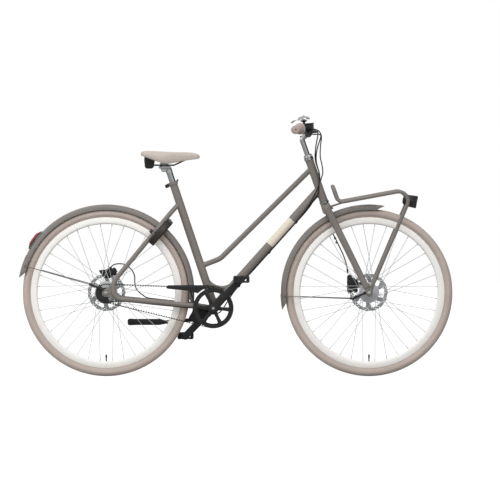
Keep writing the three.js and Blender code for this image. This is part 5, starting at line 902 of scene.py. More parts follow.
def rotor(name, centre, offset, body):
    """A waved brake disc with slanted arms and two rows of drilled holes."""
    edge = []
    for turn in range(0, 360, 2):
        wave = 0.5 + 0.5 * cos(radians(turn * DISC_WAVES))
        edge.append(polar(DISC_RADIUS - DISC_WAVE_DEPTH * (1 - wave), turn))
    outlines = [edge, ring(DISC_BORE, 32)]
    for turn in range(0, 360, 60):
        outlines.append(arc(0.0650, turn + 40, turn + 80, 12) + arc(0.0255, turn + 60, turn + 20, 8))
    for i in range(30):
        for reach, shift in ((0.0688, 0), (0.0742, 6)):
            if i % 3 < 2:
                outlines.append(ring(0.0019, 10, polar(reach, i * 12 + shift)))
    piece = plate(outlines, DISC_THICKNESS, offset, 0.0002, (centre.x, centre.z))
    finish = disc_steel(name + "_steel", centre)
    rebuilt(piece, name + "_disc", finish, name)
    bolts = []
    for turn in range(10, 370, 60):
        foot = around(centre, 0.0212, turn, offset)
        bolts.append(rod(foot, foot + ACROSS * 0.0032, 0.0030, 12))
    dressed(joined(bolts), name + "_bolts", BLACK, body)


tyre("front_tyre", FRONT_AXLE)
tyre("rear_tyre", REAR_AXLE)
rim("front_rim", FRONT_AXLE, "front_wheel")
rim("rear_rim", REAR_AXLE, "rear_wheel")
front_hub()
rear_hub()
spokes("front", FRONT_AXLE, "front_wheel", *FRONT_FLANGE)
spokes("rear", REAR_AXLE, "rear_wheel", *REAR_FLANGE)
rotor("front_rotor", FRONT_AXLE, FRONT_DISC_SIDE, "front_wheel")
rotor("rear_rotor", REAR_AXLE, REAR_DISC_SIDE, "rear_wheel")

# Saddle

SADDLE_LOW, SADDLE_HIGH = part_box("saddle_cover")
RAIL_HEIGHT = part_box("saddle_rails")[0].z + 0.0035
SADDLE_STATIONS = [
    (0.004, 0.60, 0.95, 0.66), (0.04, 0.86, 1.0, 0.58), (0.12, 0.96, 1.01, 0.47), (0.20, 1.0, 1.0, 0.35),
    (0.30, 0.97, 0.97, 0.18), (0.42, 0.84, 0.945, 0.03), (0.54, 0.62, 0.925, 0.12), (0.66, 0.45, 0.91, 0.22),
    (0.78, 0.35, 0.90, 0.31), (0.88, 0.29, 0.875, 0.37), (0.95, 0.235, 0.80, 0.40),
    (0.995, 0.15, 0.66, 0.45),
]
CUSHION_SHARES = [
    (1.0, 0.30), (0.99, 0.55), (0.92, 0.80), (0.76, 0.94), (0.52, 1.0), (0.26, 1.0), (0.08, 0.965),
    (0.0, 0.955),
]


def cushion():
    """The padded cushion, lofted over its stations and rounded by subdivision."""
    length = SADDLE_HIGH.x - SADDLE_LOW.x
    half = (SADDLE_HIGH.y - SADDLE_LOW.y) / 2
    rise = 0.060
    rings = []
    for along, width, top, skirt in SADDLE_STATIONS:
        x = SADDLE_LOW.x + length * along
        upper = [(y * width * half, skirt + (top - skirt) * z) for y, z in CUSHION_SHARES]
        under = [(y * width * half, skirt + z) for y, z in ((0.95, 0), (0.80, 0.04), (0.4, 0.2))]
        flip = [(-y, z) for y, z in upper[:-1]][::-1]
        low = [(-y, z) for y, z in under] + [(0, skirt + 0.22)] + under[::-1]
        rings.append([(x, y, RAIL_HEIGHT + z * rise) for y, z in upper + flip + low])
    piece = lofted(rings)
    applied(piece, "SUBSURF", levels=2, render_levels=2)
    return rebuilt(piece, "saddle_cushion", HIDE, "saddle_cover", 60)


cushion()


# Frame, stays and fork


def cut(piece, cutter):
    """Takes the cutter's form out of a piece."""
    applied(piece, "BOOLEAN", operation="DIFFERENCE", solver="EXACT", object=cutter)
    bpy.data.objects.remove(cutter, do_unlink=True)
    return piece


def bored(piece, start, end, radius):
    """Cuts a round bore through a piece."""
    return cut(piece, rod(start, end, radius, 32))


def swept_arc(section, centre, start, end, steps):
    """A closed section of (side, radius) points carried round a wheel's axle between two angles."""
    piece = loop_of([around(NOWHERE, radius, start, side) for side, radius in section])
    turn = {"steps": steps, "angle": radians(end - start), "center": NOWHERE, "axis": ACROSS}
    edited(piece, (bpy.ops.mesh.spin, turn), (ends_filled, {}))
    return merged(set_on(piece, Matrix.Translation(centre)))


def gusset_arc():
    """The curved tube between the seat tube and the down tube: it touches both."""
    inner = GUSSET_RADIUS - GUSSET_TUBE - GUSSET_BURY
    seat_base = SEAT_ORIGIN + SEAT_FORWARD * (SEAT_TUBE_RADIUS + inner)
    down_base = CRANK + DOWN_RISE * (DOWN_TUBE_RADIUS + inner)
    across = SEAT_UP.x * DOWN_RUN.z - SEAT_UP.z * DOWN_RUN.x
    between = down_base - seat_base
    along = (between.x * DOWN_RUN.z - between.z * DOWN_RUN.x) / across
    centre = seat_base + SEAT_UP * along
    return tube([around(centre, GUSSET_RADIUS, angle, 0) for angle in range(190, 325, 3)], GUSSET_TUBE, 20)


def main_frame():
    """Head, down, top and seat tubes with the shell and the curved gusset, welded into one."""
    foot = seat_point(TOP_TUBE_SEAT)
    run = Vector((cos(TOP_TUBE_FOOT_ANGLE), 0, sin(TOP_TUBE_FOOT_ANGLE)))
    head = steer(0, 0, HEAD_FOOT + TOP_TUBE_HEAD)
    top_line = rounded([foot, foot + run * TOP_TUBE_FOOT, head], TOP_TUBE_BEND)
    half = ACROSS * SHELL_WIDTH / 2
    piece = fused([
        rod(steer(0, 0, HEAD_FOOT), steer(0, 0, HEAD_TOP), HEAD_RADIUS, 40),
        rod(steer(0, 0, HEAD_FOOT), steer(0, 0, HEAD_FOOT + 7), HEAD_RADIUS + HEAD_LIP, 40),
        rod(steer(0, 0, HEAD_TOP - 8), steer(0, 0, HEAD_TOP), HEAD_RADIUS + HEAD_LIP, 40),
        rod(CRANK, DOWN_HEAD, DOWN_TUBE_RADIUS, 40),
        rod(seat_point(0), seat_point(SEAT_TUBE_LENGTH), SEAT_TUBE_RADIUS, 40),
        rod(CRANK - half, CRANK + half, SHELL_RADIUS, 40),
        tube(top_line, TOP_TUBE_RADIUS, 24),
        gusset_arc(),
    ], 0.0018, 5)
    bored(piece, steer(0, 0, HEAD_FOOT - 14), steer(0, 0, HEAD_TOP + 12), HEAD_BORE)
    bored(piece, seat_point(0.28), seat_point(0.57), SEAT_TUBE_BORE)
    bored(piece, CRANK - half * 2, CRANK + half * 2, SHELL_BORE)
    rebuilt(piece, "welded_frame", COAT_FRAME, "main_frame", 50)


def stay_line(side):
    """One side's stay: down from the seat tube, round the dropout and forward to the shell."""
    upright = REAR_AXLE.x + 0.032
    outer = side * (REAR_DROPOUT_SIDE + DROPOUT_THICKNESS / 2)
    return rounded([
        spot(-149, side * 3, 719),
        spot(-178, side * 27.5, 687),
        Vector((upright, outer, REAR_AXLE.z + 0.048)),
        Vector((upright, outer, REAR_AXLE.z - 0.022)),
        spot(-99, side * 37, CRANK_HEIGHT + 11.25),
        spot(-62, side * 37, CRANK_HEIGHT + 7.5),
        spot(-11.25, side * 27, CRANK_HEIGHT),
    ], [0.030, 0.060, 0.036, 0.050, 0.050])


def stay(name, side):
    """A bent stay tube welded to its slotted dropout, with the stand's bracket on the left."""
    drop = [(0.032, 0.046), (0.032, -0.018), (0.014, -0.0175), *arc(0.017, -100, -260, 16), (0.010, 0.026)]
    axle = (REAR_AXLE.x, REAR_AXLE.z)
    pieces = [
        tube(stay_line(side), STAY_RADIUS, 24),
        plate([drop, ring(0.0054, 24)], DROPOUT_THICKNESS, side * REAR_DROPOUT_SIDE, 0.0006, axle),
    ]
    if side > 0:
        pieces += stand_bracket()
    rebuilt(fused(pieces, 0.0015, 4), name + "_tube", COAT, name, 50)


STAND_PIVOT = spot(-77, 45, CRANK_HEIGHT - 53)
STAND_TURN = radians(12.7)
STAND_HINGE = Vector((sin(STAND_TURN), -cos(STAND_TURN), 0))


def stand_bracket():
    """The welded boss that holds the kickstand's hinge."""
    far = STAND_PIVOT - STAND_HINGE * 0.0165
    near = STAND_PIVOT - STAND_HINGE * 0.0075
    between = far.lerp(near, 0.5)
    return [rod(far, near, STAND_BOSS, 32), rod(between, between + UP * 0.052, 0.0085, 24)]


def fork():
    """Two oval tapered legs under a sloped crown, with plate ends."""
    pieces = []
    for side in (-1, 1):
        top = steer(3, side * 44, 398)
        foot = steer(47.7, side * 52, 24)
        leg = rod(NOWHERE, UP * (foot - top).length, 1, 32, 0.88)
        set_on(leg, Matrix.Diagonal((0.0150, 0.010, 1, 1)))
        along = (foot - top).normalized()
        across = (ACROSS - along * along.y).normalized()
        turn = Matrix((across.cross(along), across, along)).transposed().to_4x4()
        pieces.append(set_on(leg, Matrix.Translation(top) @ turn))
        end = [*arc(0.015, 160, 380, 20), (0.0135, 0.040), (-0.0135, 0.040)]
        drop = plate([end, ring(0.0052, 24)], DROPOUT_THICKNESS, side * FRONT_DROPOUT_SIDE, 0.0006)
        lean = Matrix.Rotation(HEAD_ANGLE - pi / 2, 4, "Y")
        pieces.append(set_on(drop, Matrix.Translation(FRONT_AXLE) @ lean))
    crown = block((-0.0195, -0.0500, 0.372), (0.0205, 0.0500, 0.4095), 0.009)
    pieces.append(set_on(crown, grid(STEER_ORIGIN, STEER_FORWARD, ACROSS)))
    pieces.append(rod(steer(0, 0, 405), steer(0, 0, 414.5), 0.0200, 40, 0.0187))
    for height in (262, 243):
        pieces.append(rod(steer(-8, 49, height - 5), steer(-6, 49, height + 5), 0.0055, 16))
    piece = fused(pieces, 0.0016, 7)
    steerer = rod(steer(0, 0, 400), steer(0, 0, 630), 0.0143, 32)
    rebuilt(joined([piece, steerer]), "fork_blades", COAT, "fork", 50)


main_frame()
stay("right_stay", -1)
stay("left_stay", 1)
fork()

# Headset

LOWER_CUP = mm(
    (415.2, 14.6), (415.2, 18.5), (417.5, 20.5), (418.5, 20.5), (419, 19.3), (420, 19.3), (420.5, 20.5),
    (423.2, 20.5), (423.7, 20), (423.7, 14.6),
)
UPPER_CUP = mm(
    (608.3, 14.6), (608.3, 19.5), (609, 20), (616.5, 20), (617.2, 19), (618.4, 19), (619, 19.7),
    (622.5, 19.7), (623.2, 18), (624, 17.5), (631.5, 17.5), (632, 17), (632, 14.6),
)
rebuilt(turned(LOWER_CUP, STEER_ORIGIN, STEER_UP, 64), "lower_bearing_cup", SILVER, "headset_cup_lower")
rebuilt(turned(UPPER_CUP, STEER_ORIGIN, STEER_UP, 64), "upper_bearing_cup", SILVER, "headset_cup_upper")

# Fenders


def guard_section(half, top, wall):
    """The closed section of an arched guard: its outside, then its inside."""
    angles = [pi * i / 24 for i in range(25)]
    foot = top - GUARD_DEPTH
    outer = [(half * cos(angle), foot + GUARD_DEPTH * sin(angle) ** 0.55) for angle in angles]
    inner = [(side * (half - wall) / half, max(radius - wall, foot)) for side, radius in outer[::-1]]
    return outer + inner


def tapered(piece, centre, crown, begin, tip, narrowing):
    """Draws an arched piece's skirts up to its crown between two angles, so that it ends in a point."""
    for vertex in piece.data.vertices:
        away = vertex.co - centre
        angle = degrees(atan2(away.z, away.x))
        if angle < -90:
            angle += 360
        share = min(1.0, max(0.0, (angle - begin) / (tip - begin)))
        reach = hypot(away.x, away.z)
        reach += (crown - reach) * 0.9 * share
        vertex.co = around(centre, reach, angle, away.y * (1 - narrowing * share))


def fender(name, body, centre, start, end, flap_end, wires, knee, foot):
    """An arched guard with a turned lip, its flap with a pointed tip, and two wires with clips."""
    guard = swept_arc(guard_section(GUARD_HALF, FENDER_CROWN, GUARD_WALL), centre, start, end, 90)
    tapered(guard, centre, FENDER_CROWN, start + 5, start, 0.15)
    rebuilt(guard, name + "_guard", COAT, name, 40)
    flap = swept_arc(guard_section(GUARD_HALF + 0.0002, FLAP_CROWN, FLAP_WALL), centre, end - 3, flap_end, 24)
    tapered(flap, centre, FLAP_CROWN, flap_end - 4, flap_end, 0.5)
    dressed(flap, name + "_flap", COAT, body, 40)
    steel = []
    clips = []
    for side in (-1, 1):
        top = around(centre, 0.3600, wires, side * 0.0275)
        bend = spot(knee[0], side * knee[1], knee[2])
        end_point = spot(foot[0], side * foot[1], foot[2])
        back = (top - bend).normalized()
        out = ACROSS * side
        steel += [rod(top, bend, FENDER_WIRE, 12), rod(top - out * 0.002, top + out * 0.0022, 0.0042, 16)]
        clips += [
            rod(bend + back * 0.012, bend - back * 0.004, 0.0034, 16, 0.0046),
            rod(bend, end_point, 0.0048, 16, 0.0040),
            rod(end_point - ACROSS * 0.003, end_point + ACROSS * 0.003, 0.0065, 24),
        ]
    dressed(joined(steel), name + "_wires", COAT_DARK, body)
    dressed(joined(clips), name + "_wire_clips", PLASTIC, body)


fender("front_fender", "steering", FRONT_AXLE, 80, 184, 191, 182.3, (586, 56, 326), (634, 58.5, 350))
fender("rear_fender", "frame", REAR_AXLE, -9, 158, 170, 161.7, (-508, 70, 384), (-466, 76, 366))
bracket = rod(steer(0, 0, 366), steer(0, 0, 372), 0.012, 24)
dressed(bracket, "fender_bracket", BLACK, "steering")

# Front carrier


def carrier():
    """One bent tube from fork end to fork end, with cross rods, rails and a flat plate."""
    front, back = RACK_FRONT, RACK_BACK
    half = [
        (72, 66, 24), (front[0], RACK_HALF, front[1]), (back[0], RACK_HALF, back[1]),
        (back[0], RACK_HALF, back[1] + RACK_RISE),
    ]
    line = [steer(*point) for point in half] + [steer(x, -y, z) for x, y, z in half[::-1]]
    pieces = [tube(rounded(line, [0.040, 0.024, 0.024, 0.024, 0.024, 0.040], 14), RACK_TUBE, 24)]

    def deck(lead, side):
        """A place on the sloping deck, in the steering grid's millimetres."""
        share = (lead - RACK_BACK[0]) / (RACK_FRONT[0] - RACK_BACK[0])
        return steer(lead, side, RACK_BACK[1] + (RACK_FRONT[1] - RACK_BACK[1]) * share)

    for lead in (110, 162, 214, 266):
        pieces.append(rod(deck(lead, -RACK_HALF), deck(lead, RACK_HALF), RACK_ROD, 16))
    for side in (-1, 1):
        pieces.append(rod(deck(106, side * 47), deck(270, side * 47), RACK_ROD, 16))
        pieces.append(rod(steer(60, side * 58.5, 4), steer(74, side * 64, 26), 0.0072, 20))
    pieces.append(rod(steer(22, 0, 395), deck(110, 0), RACK_ROD, 16))
    pieces.append(rod(steer(19, 0, 391), steer(27, 0, 391), 0.0085, 24))
    lead, height = RACK_LAMP_ROD
    pieces.append(rod(steer(lead, -111, height), steer(lead, 111, height), RACK_ROD, 16))
    run = (deck(200, 0) - deck(176, 0)).normalized()
    lie = Matrix.Rotation(-atan2(run.z, run.x), 4, "Y") @ Matrix.Diagonal((0.024, 0.094, 0.004, 1))
    sheet = made(bpy.ops.mesh.primitive_cube_add, size=1)
    pieces.append(set_on(sheet, Matrix.Translation(deck(188, 0)) @ lie))
    rebuilt(joined(pieces), "carrier_tubes", COAT, "front_rack", 40)
    bolts = [rod(steer(62, side * 60, 11), steer(62, side * 67, 11), 0.0042, 6) for side in (-1, 1)]
    dressed(joined(bolts), "carrier_bolts", SILVER, "steering")


carrier()

# Cables


def cable_place(distance, angle):
    """A place beside the down tube's surface, at an angle from its underside to the right."""
    away = DOWN_TUBE_RADIUS + 0.0028
    down = DOWN_RISE * -away * cos(radians(angle))
    return CRANK + DOWN_RUN * (distance / 1000) + down - ACROSS * away * sin(radians(angle))


FRONT_HOSE_TOP = [
    (402, 137, 1036), (424, 128, 1037), (444, 112, 1030), (455, 92, 1007), (451, 66, 968), (450, 50, 920),
    (457, 40, 886), (460, 35, 852), (452, 34, 824),
]
FRONT_HOSE = [
    (9, 36, 488), (2, 42, 462), (0, 50, 440), (0, 56, 420), (0, 58, 400), (-4, 58, 376), (-10, 54, 344),
    (-11.5, 50, 312), (-10, 48, 288), (-6, 49, 262), (-2, 50, 225), (2, 48, 180), (1, 45, 140),
    (-6, 44, 104),
]
REAR_HOSE_TOP = [
    (402, -137, 1036), (422, -128, 1037), (436, -112, 1029), (438, -92, 1012), (433, -70, 985),
    (429, -50, 955), (427, -36, 925), (429, -28, 903), (435, -25, 882), (443, -24, 856), (445, -24, 824),
    (443, -23, 795),
]
REAR_HOSE_TUBE = [
    (650, 68), (618, 52), (600, 38), (580, 24), (560, 10), (535, -3), (510, -8), (400, -8), (250, -8),
    (110, -8),
]
REAR_HOSE_END = [
    (30, 0, 270.5), (15, 8, 263), (2, 18, 260.5), (-14, 38, 262), (-26, 48, 276), (-44, 50, 296),
    (-77, 46.5, 306.5), (-150, 52.5, 313), (-250, 63, 323.5), (-283, 64.5, 329), (-300, 61, 341),
    (-318, 58, 356), (-328, 56, 374), (-331, 54, 396), (-332, 52, 420), (-341, 50, 441), (-358, 50, 459),
    (-376, 50, 468.5), (-400, 52, 471), (-418, 55, 467), (-429, 58, 460), (-433, 60, 452),
]
SHIFT_TOP = [
    (385, -182, 1033), (398, -172, 1022), (420, -152, 1015), (441, -128, 1016), (450, -108, 1010),
    (446, -84, 990), (438, -62, 965), (432, -44, 932), (432, -34, 904), (437, -31.5, 880), (445, -31.5, 852),
    (446, -31, 820), (438, -30, 790),
]
SHIFT_TUBE = [
    (610, 72), (590, 58), (570, 44), (550, 30), (525, 18), (500, 15), (400, 15), (250, 15), (110, 15),
]
SHIFT_END = [
    (30, -5, 270.5), (14, -8, 262.5), (-6, -11, 261), (-30, -15, 266), (-52, -20, 280), (-80, -29.5, 286),
    (-105, -30.5, 288.5), (-170, -37, 294.5), (-250, -45.5, 302.5), (-330, -54, 311.5), (-370, -59, 315),
    (-396, -64.3, 316.5), (-414, -64.5, 315), (-432, -64.5, 313),
]


def cables():
    """The two brake hoses and the shift cable, each with its end fittings and clips."""
    for name, body, stretches in (
        ("front_brake_hose", "steering", ((spot, FRONT_HOSE_TOP), (steer, FRONT_HOSE))),
        ("rear_brake_hose", "frame", (
            (spot, REAR_HOSE_TOP), (cable_place, REAR_HOSE_TUBE), (spot, REAR_HOSE_END),
        )),
        ("shift_cable", "frame", ((spot, SHIFT_TOP), (cable_place, SHIFT_TUBE), (spot, SHIFT_END))),
    ):
        line = flowing([where(*point) for where, points in stretches for point in points])
        rebuilt(tube(line, CABLE_RADIUS, 14), name + "_line", RUBBER, name)
        ends = [tube(stretch, CABLE_RADIUS + 0.0011, 16) for stretch in (line[:4], line[-4:])]
        dressed(joined(ends), name + "_ends", BLACK, body)
    clips = [
        rod(cable_place(at, -8) - DOWN_RUN * 0.004, cable_place(at, 15) + DOWN_RUN * 0.004, 0.0048, 16)
        for at in (140, 330, 500)
    ]
    dressed(joined(clips), "down_tube_clips", PLASTIC, "frame")


cables()


# Handlebar, stem and grips

GRIP_WAY = (Vector(BAR_TIP) - Vector(BAR_ELBOW)).normalized()


def outward(side):
    """The way along a grip, from its inner end to the bar's tip, in world axes."""
    return (STEER_FORWARD * GRIP_WAY.x + STEER_UP * GRIP_WAY.z + ACROSS * side * GRIP_WAY.y).normalized()


def bar_place(side, inset):
    """A place on the grip's axis, a distance in from the bar's tip."""
    return steer(BAR_TIP[0], side * BAR_TIP[1], BAR_TIP[2]) - outward(side) * (inset / 1000)


GRIP_SHARES = [
    (0.0, 0.0), (0.0, 0.0085), (0.006, 0.0120), (0.020, 0.0150), (0.050, 0.0170), (0.11, 0.0180),
    (0.30, 0.0168), (0.50, 0.0162), (0.70, 0.0170), (0.88, 0.0186), (0.95, 0.0192), (0.985, 0.0188),
    (1.0, 0.0170), (1.0, 0.0114), (0.2, 0.0114),
]


def grip(name, side, start, length):
    """A shaped grip: a rounded closed end, a waist and a collar, with its end plug."""
    base = bar_place(side, start)
    inward = outward(side) * -1
    profile = [(share * length / 1000, radius) for share, radius in GRIP_SHARES]
    rebuilt(turned(profile, base, inward, 48), name + "_sleeve", GRIP, name, 45)
    plug = turned(mm((-0.2, 0), (-0.2, 2.8), (3, 2.8), (3, 0)), base, inward, 20)
    dressed(plug, name + "_plug", PLASTIC, "steering")


def cockpit():
    """The bar, its stem and clamp, the grips and the twist shifter."""
    corners = [bar_place(1, 1), steer(*BAR_ELBOW), steer(*BAR_SHOULDER)]
    corners += [Vector((place.x, -place.y, place.z)) for place in corners[::-1]]
    rebuilt(tube(rounded(corners, 0.046), BAR_RADIUS, 24), "bar_tube", BLACK, "handlebar")
    quill = tube(rounded([steer(0, 0, 500), steer(0, 0, 703), steer(24, 0, 712)], 0.012, 8), QUILL_RADIUS, 32)
    rebuilt(quill, "stem_quill", SILVER, "quill_stem", 60)
    clamp = turned(mirrored(mm((-20, 11.3), (-20, 13.5), (-18, 15.2))), steer(*BAR_CLAMP), ACROSS, 40)
    dressed(clamp, "stem_clamp", BLACK, "steering")
    wedge = rod(steer(0, 0, 713), steer(0, 0, 716.5), 0.0055, 6)
    dressed(wedge, "stem_bolt", BLACK, "steering")
    grip("grip_left", 1, -6, 134)
    grip("grip_right", -1, -6, 100)
    twist = turned(mm(
        (0, 11.4), (0, 20), (2, 22.5), (6, 23.6), (22, 23.6), (25.5, 22.2), (27, 20.5), (27.5, 23.6),
        (34.5, 24), (36, 22.5), (36, 11.4),
    ), bar_place(-1, 95.5), outward(-1) * -1, 48)
    rebuilt(twist, "twist_shifter", GRIP, "shift_grip", 30)


BRAKE_INSET = 137
BRAKE_DIP = 27
BLADE_LINE = [
    (47, 22, 6.2), (62, 30, 5), (74, 46, 3.6), (77.5, 70, 3), (74.5, 100, 3), (70, 124, 3.4), (70, 138, 4.6),
]


def brake(name, side):
    """A hydraulic lever: clamp, barrel, slanted tank with its lid, and a curved blade."""
    along = outward(side) * side
    front = dipped(BRAKE_DIP)
    front = (front - along * front.dot(along)).normalized()
    axes = grid(bar_place(side, BRAKE_INSET), front, along)
    ring_clamp = set_on(turned(mirrored(mm((-8, 11.6), (-8, 15), (-6.5, 16.6))), NOWHERE, ACROSS, 36), axes)
    barrel = set_on(turned(mm(
        (-40, 0), (-40, 4.2), (-36, 5.5), (-30, 6), (-28, 9.2), (-25, 10.4), (6, 10.4), (9, 9), (9.5, 0),
    ), Vector((0.037, 0, 0.001)), ACROSS * side, 32), axes)
    pieces = [ring_clamp, barrel]
    pieces.append(set_on(block((0.012, -0.0075, -0.008), (0.036, 0.0075, 0.010), 0.002), axes))
    tank = block((-0.014, -0.024, -0.004), (0.017, 0.024, 0.020), 0.004)
    lid = block((-0.0155, -0.026, 0.0195), (0.0190, 0.026, 0.0240), 0.0014)
    lean = axes @ Matrix.Translation((0.036, 0, 0.004)) @ Matrix.Rotation(radians(-12), 4, "Y")
    pieces += [set_on(tank, lean), set_on(lid, lean)]
    for way in (-1, 1):
        near, far = sorted((side * 0.006, side * 0.029))
        low, high = sorted((way * 0.0064, way * 0.0090))
        pieces.append(set_on(block((0.026, near, low), (0.0545, far, high), 0.0009), axes))
    pivot = Vector((0.047, side * 0.022, 0))
    pieces.append(set_on(rod(pivot - UP * 0.0102, pivot + UP * 0.0102, 0.0036, 16), axes))
    rebuilt(joined(pieces), "brake_" + name + "_body", BLACK, "brake_body_" + name)
    fore = mm(*((x + half, side * y) for x, y, half in BLADE_LINE))
    rear = mm(*((x - half, side * y) for x, y, half in BLADE_LINE[::-1]))
    blade = plate([fore + rear], 0.0118, 0, 0.0022)
    set_on(blade, axes @ Matrix.Rotation(-pi / 2, 4, "X"))
    eye = set_on(rod(pivot - UP * 0.0058, pivot + UP * 0.0058, 0.0070, 24), axes)
    rebuilt(joined([blade, eye]), "brake_" + name + "_blade", BLACK, "brake_lever_" + name)


BELL_BAR = steer(22.5, 102, 729.5)
BELL_TILT = 16
BELL_UP = STEER_UP * cos(radians(BELL_TILT)) + STEER_FORWARD * sin(radians(BELL_TILT))
BELL_FOOT = BELL_BAR - BELL_UP * 0.008


def bell():
    """A shallow dome on its post, hollow below, with a sprung thumb lever."""
    dome = turned(mm(
        (57.8, 24), (57.6, 26.2), (60, 26.2), (65, 23.2), (68.6, 18), (70.8, 11), (71.6, 3.6), (74, 3.6),
        (74.6, 2.8), (74.6, 0), (69, 0), (68.8, 11), (66.6, 17.2), (63.4, 22), (60, 24.8), (59, 24),
    ), BELL_FOOT, BELL_UP, 48)
    rebuilt(dome, "bell_dome", SILVER, "bell", 50)
    post = turned(mm(
        (20, 0), (20, 5.8), (46, 5.2), (49, 12), (51, 14.8), (53.5, 14.8), (54.5, 6), (54.6, 2.8),
        (68.8, 2.8), (68.8, 0),
    ), BELL_FOOT, BELL_UP, 32)
    inward = (steer(*BAR_SHOULDER) - steer(*BAR_ELBOW)).normalized()
    band = turned(mirrored(mm((-6, 11.4), (-6, 14.5), (-5, 15.7))), BELL_BAR, inward, 36)
    dressed(joined([post, band]), "bell_mount", BLACK, "steering")
    axes = grid(BELL_FOOT + BELL_UP * 0.0562, dipped(BELL_TILT).normalized(), ACROSS)
    arm = plate([
        mm((-30, -6), (-4, -8), (6, -6), (8, 0), (6, 6), (-4, 8), (-30, 6)), ring(0.0033, 20),
    ], 0.0018, 0, 0.0004)
    set_on(arm, axes @ Matrix.Rotation(-pi / 2, 4, "X"))
    outline = mm((-29, 1), (-38, -3), (-47, -10), (-55, -12), (-54, -7), (-45, -2), (-37, 1))
    pad = set_on(plate([outline], 0.011, 0, 0.001), axes)
    rebuilt(joined([arm, pad]), "bell_thumb_lever", PLASTIC, "bell_lever")


cockpit()
brake("left", 1)
brake("right", -1)
bell()

# Seat post, clamp and the saddle's fittings


def seat_parts():
    """The post with its bent cast head, the rail clamp, the bumper and the collar."""
    post = rod(seat_point(0.325), seat_point(0.606), POST_RADIUS, 40)
    rebuilt(post, "post_tube", SILVER, "seatpost", 60)
    cradle = fused([
        rod(spot(-208, -22, 869), spot(-208, 22, 869), 0.0125, 32),
        block(spot(-229, -26, 872), spot(-178, 26, 882), 0.003),
        rod(seat_point(0.596), seat_point(0.622), 0.0146, 40, 0.0136),
        block(spot(-212, -13, 860), spot(-186, 13, 878), 0.004),
    ], 0.0012, 6)
    lid = block(spot(-224, -27, 889.6), spot(-188, 27, 893.5), 0.0012)
    pins = [rod(spot(x, 0, 878), spot(x, 0, 896.5), 0.0032, 12) for x in (-219, -193)]
    rebuilt(joined([cradle, lid, *pins]), "rail_clamp", CAST, "saddle_clamp", 40)
    bumper = plate([mm(
        (-289, 926), (-283, 929.5), (-250, 925), (-246, 915), (-245.5, 905), (-250, 880), (-254, 874),
        (-260, 871.5), (-278, 871.5), (-284, 874), (-287, 880), (-290, 905),
    )], 0.060, 0, 0.004)
    set_on(bumper, Matrix.Translation((CRANK.x, 0, 0)))
    rebuilt(bumper, "tail_bumper", RUBBER, "saddle_bumper", 50)
    tab = block(spot(-304.5, -16, 925), spot(-290, 16, 940), 0.004)
    dressed(tab, "saddle_tab", CAST, "seat")
    collar = turned(mm(
        (-7, 17.3), (-7, 19.5), (-6.2, 20.3), (6.2, 20.3), (7, 19.5), (7, 14), (5.6, 14), (5, 17.3),
    ), seat_point(COLLAR_UP), SEAT_UP, 48)
    axes = grid(seat_point(COLLAR_UP), SEAT_FORWARD, ACROSS)
    lug = set_on(block((-0.0275, -0.0085, -0.004), (-0.0185, 0.0085, 0.006), 0.0015), axes)
    rebuilt(joined([collar, lug]), "post_collar", COAT, "seat_clamp_collar")
    nut = set_on(rod(Vector((-0.0232, -0.0130, 0.001)), Vector((-0.0232, -0.0085, 0.001)), 0.0040, 20), axes)
    dressed(nut, "post_collar_nut", BLACK, "frame")
    guide = block((0.0185, -0.004, 0.002), (0.0250, 0.004, 0.011), 0.0015)
    dressed(set_on(guide, axes), "post_collar_guide", BLACK, "frame")


seat_parts()

# Cranks, belt ring and pedals

SPIDER_ANGLES = [radians(-5 + i * 60) for i in range(6)]


def crank_way(side):
    """The angle at which a side's crank arm points."""
    return CRANK_ANGLE if side < 0 else CRANK_ANGLE + pi


def arm_outline(side):
    """A tapered arm's outline with a waist near its ends, towards its pedal."""
    edge = mm((35, 17.2), (100, 15.0), (150, 14.6))
    under = [(x, -z) for x, z in edge]
    tip = arc(0.0155, -82, 82, 16, (CRANK_LENGTH / 1000, 0))
    return swung([*arc(0.0205, 72, 288, 20), *under, *tip, *edge[::-1]], crank_way(side))


def spindle_hub(start, end, radius):
    """A round boss on the crank's axis, between two sides in millimetres."""
    return rod(spot(0, start, CRANK_HEIGHT), spot(0, end, CRANK_HEIGHT), radius, 40)


def pedal_spindle(end, side):
    """The bar that a pedal turns on, beside an arm's end."""
    return rod(end + ACROSS * side * 0.0805, end + ACROSS * side * 0.176, PEDAL_SPINDLE, 20)


def spider():
    """Six tapered arms round the right crank's boss."""
    edge = mm(
        (10, -9.5), (40, -7), (62, -8.5), (72.2, -11.5), (73, 0), (72.2, 11.5), (62, 8.5), (40, 7), (10, 9.5),
    )
    return [plate([swung(edge, angle)], 0.0076, -0.0618, 0.0015, CRANK_CENTRE) for angle in SPIDER_ANGLES]


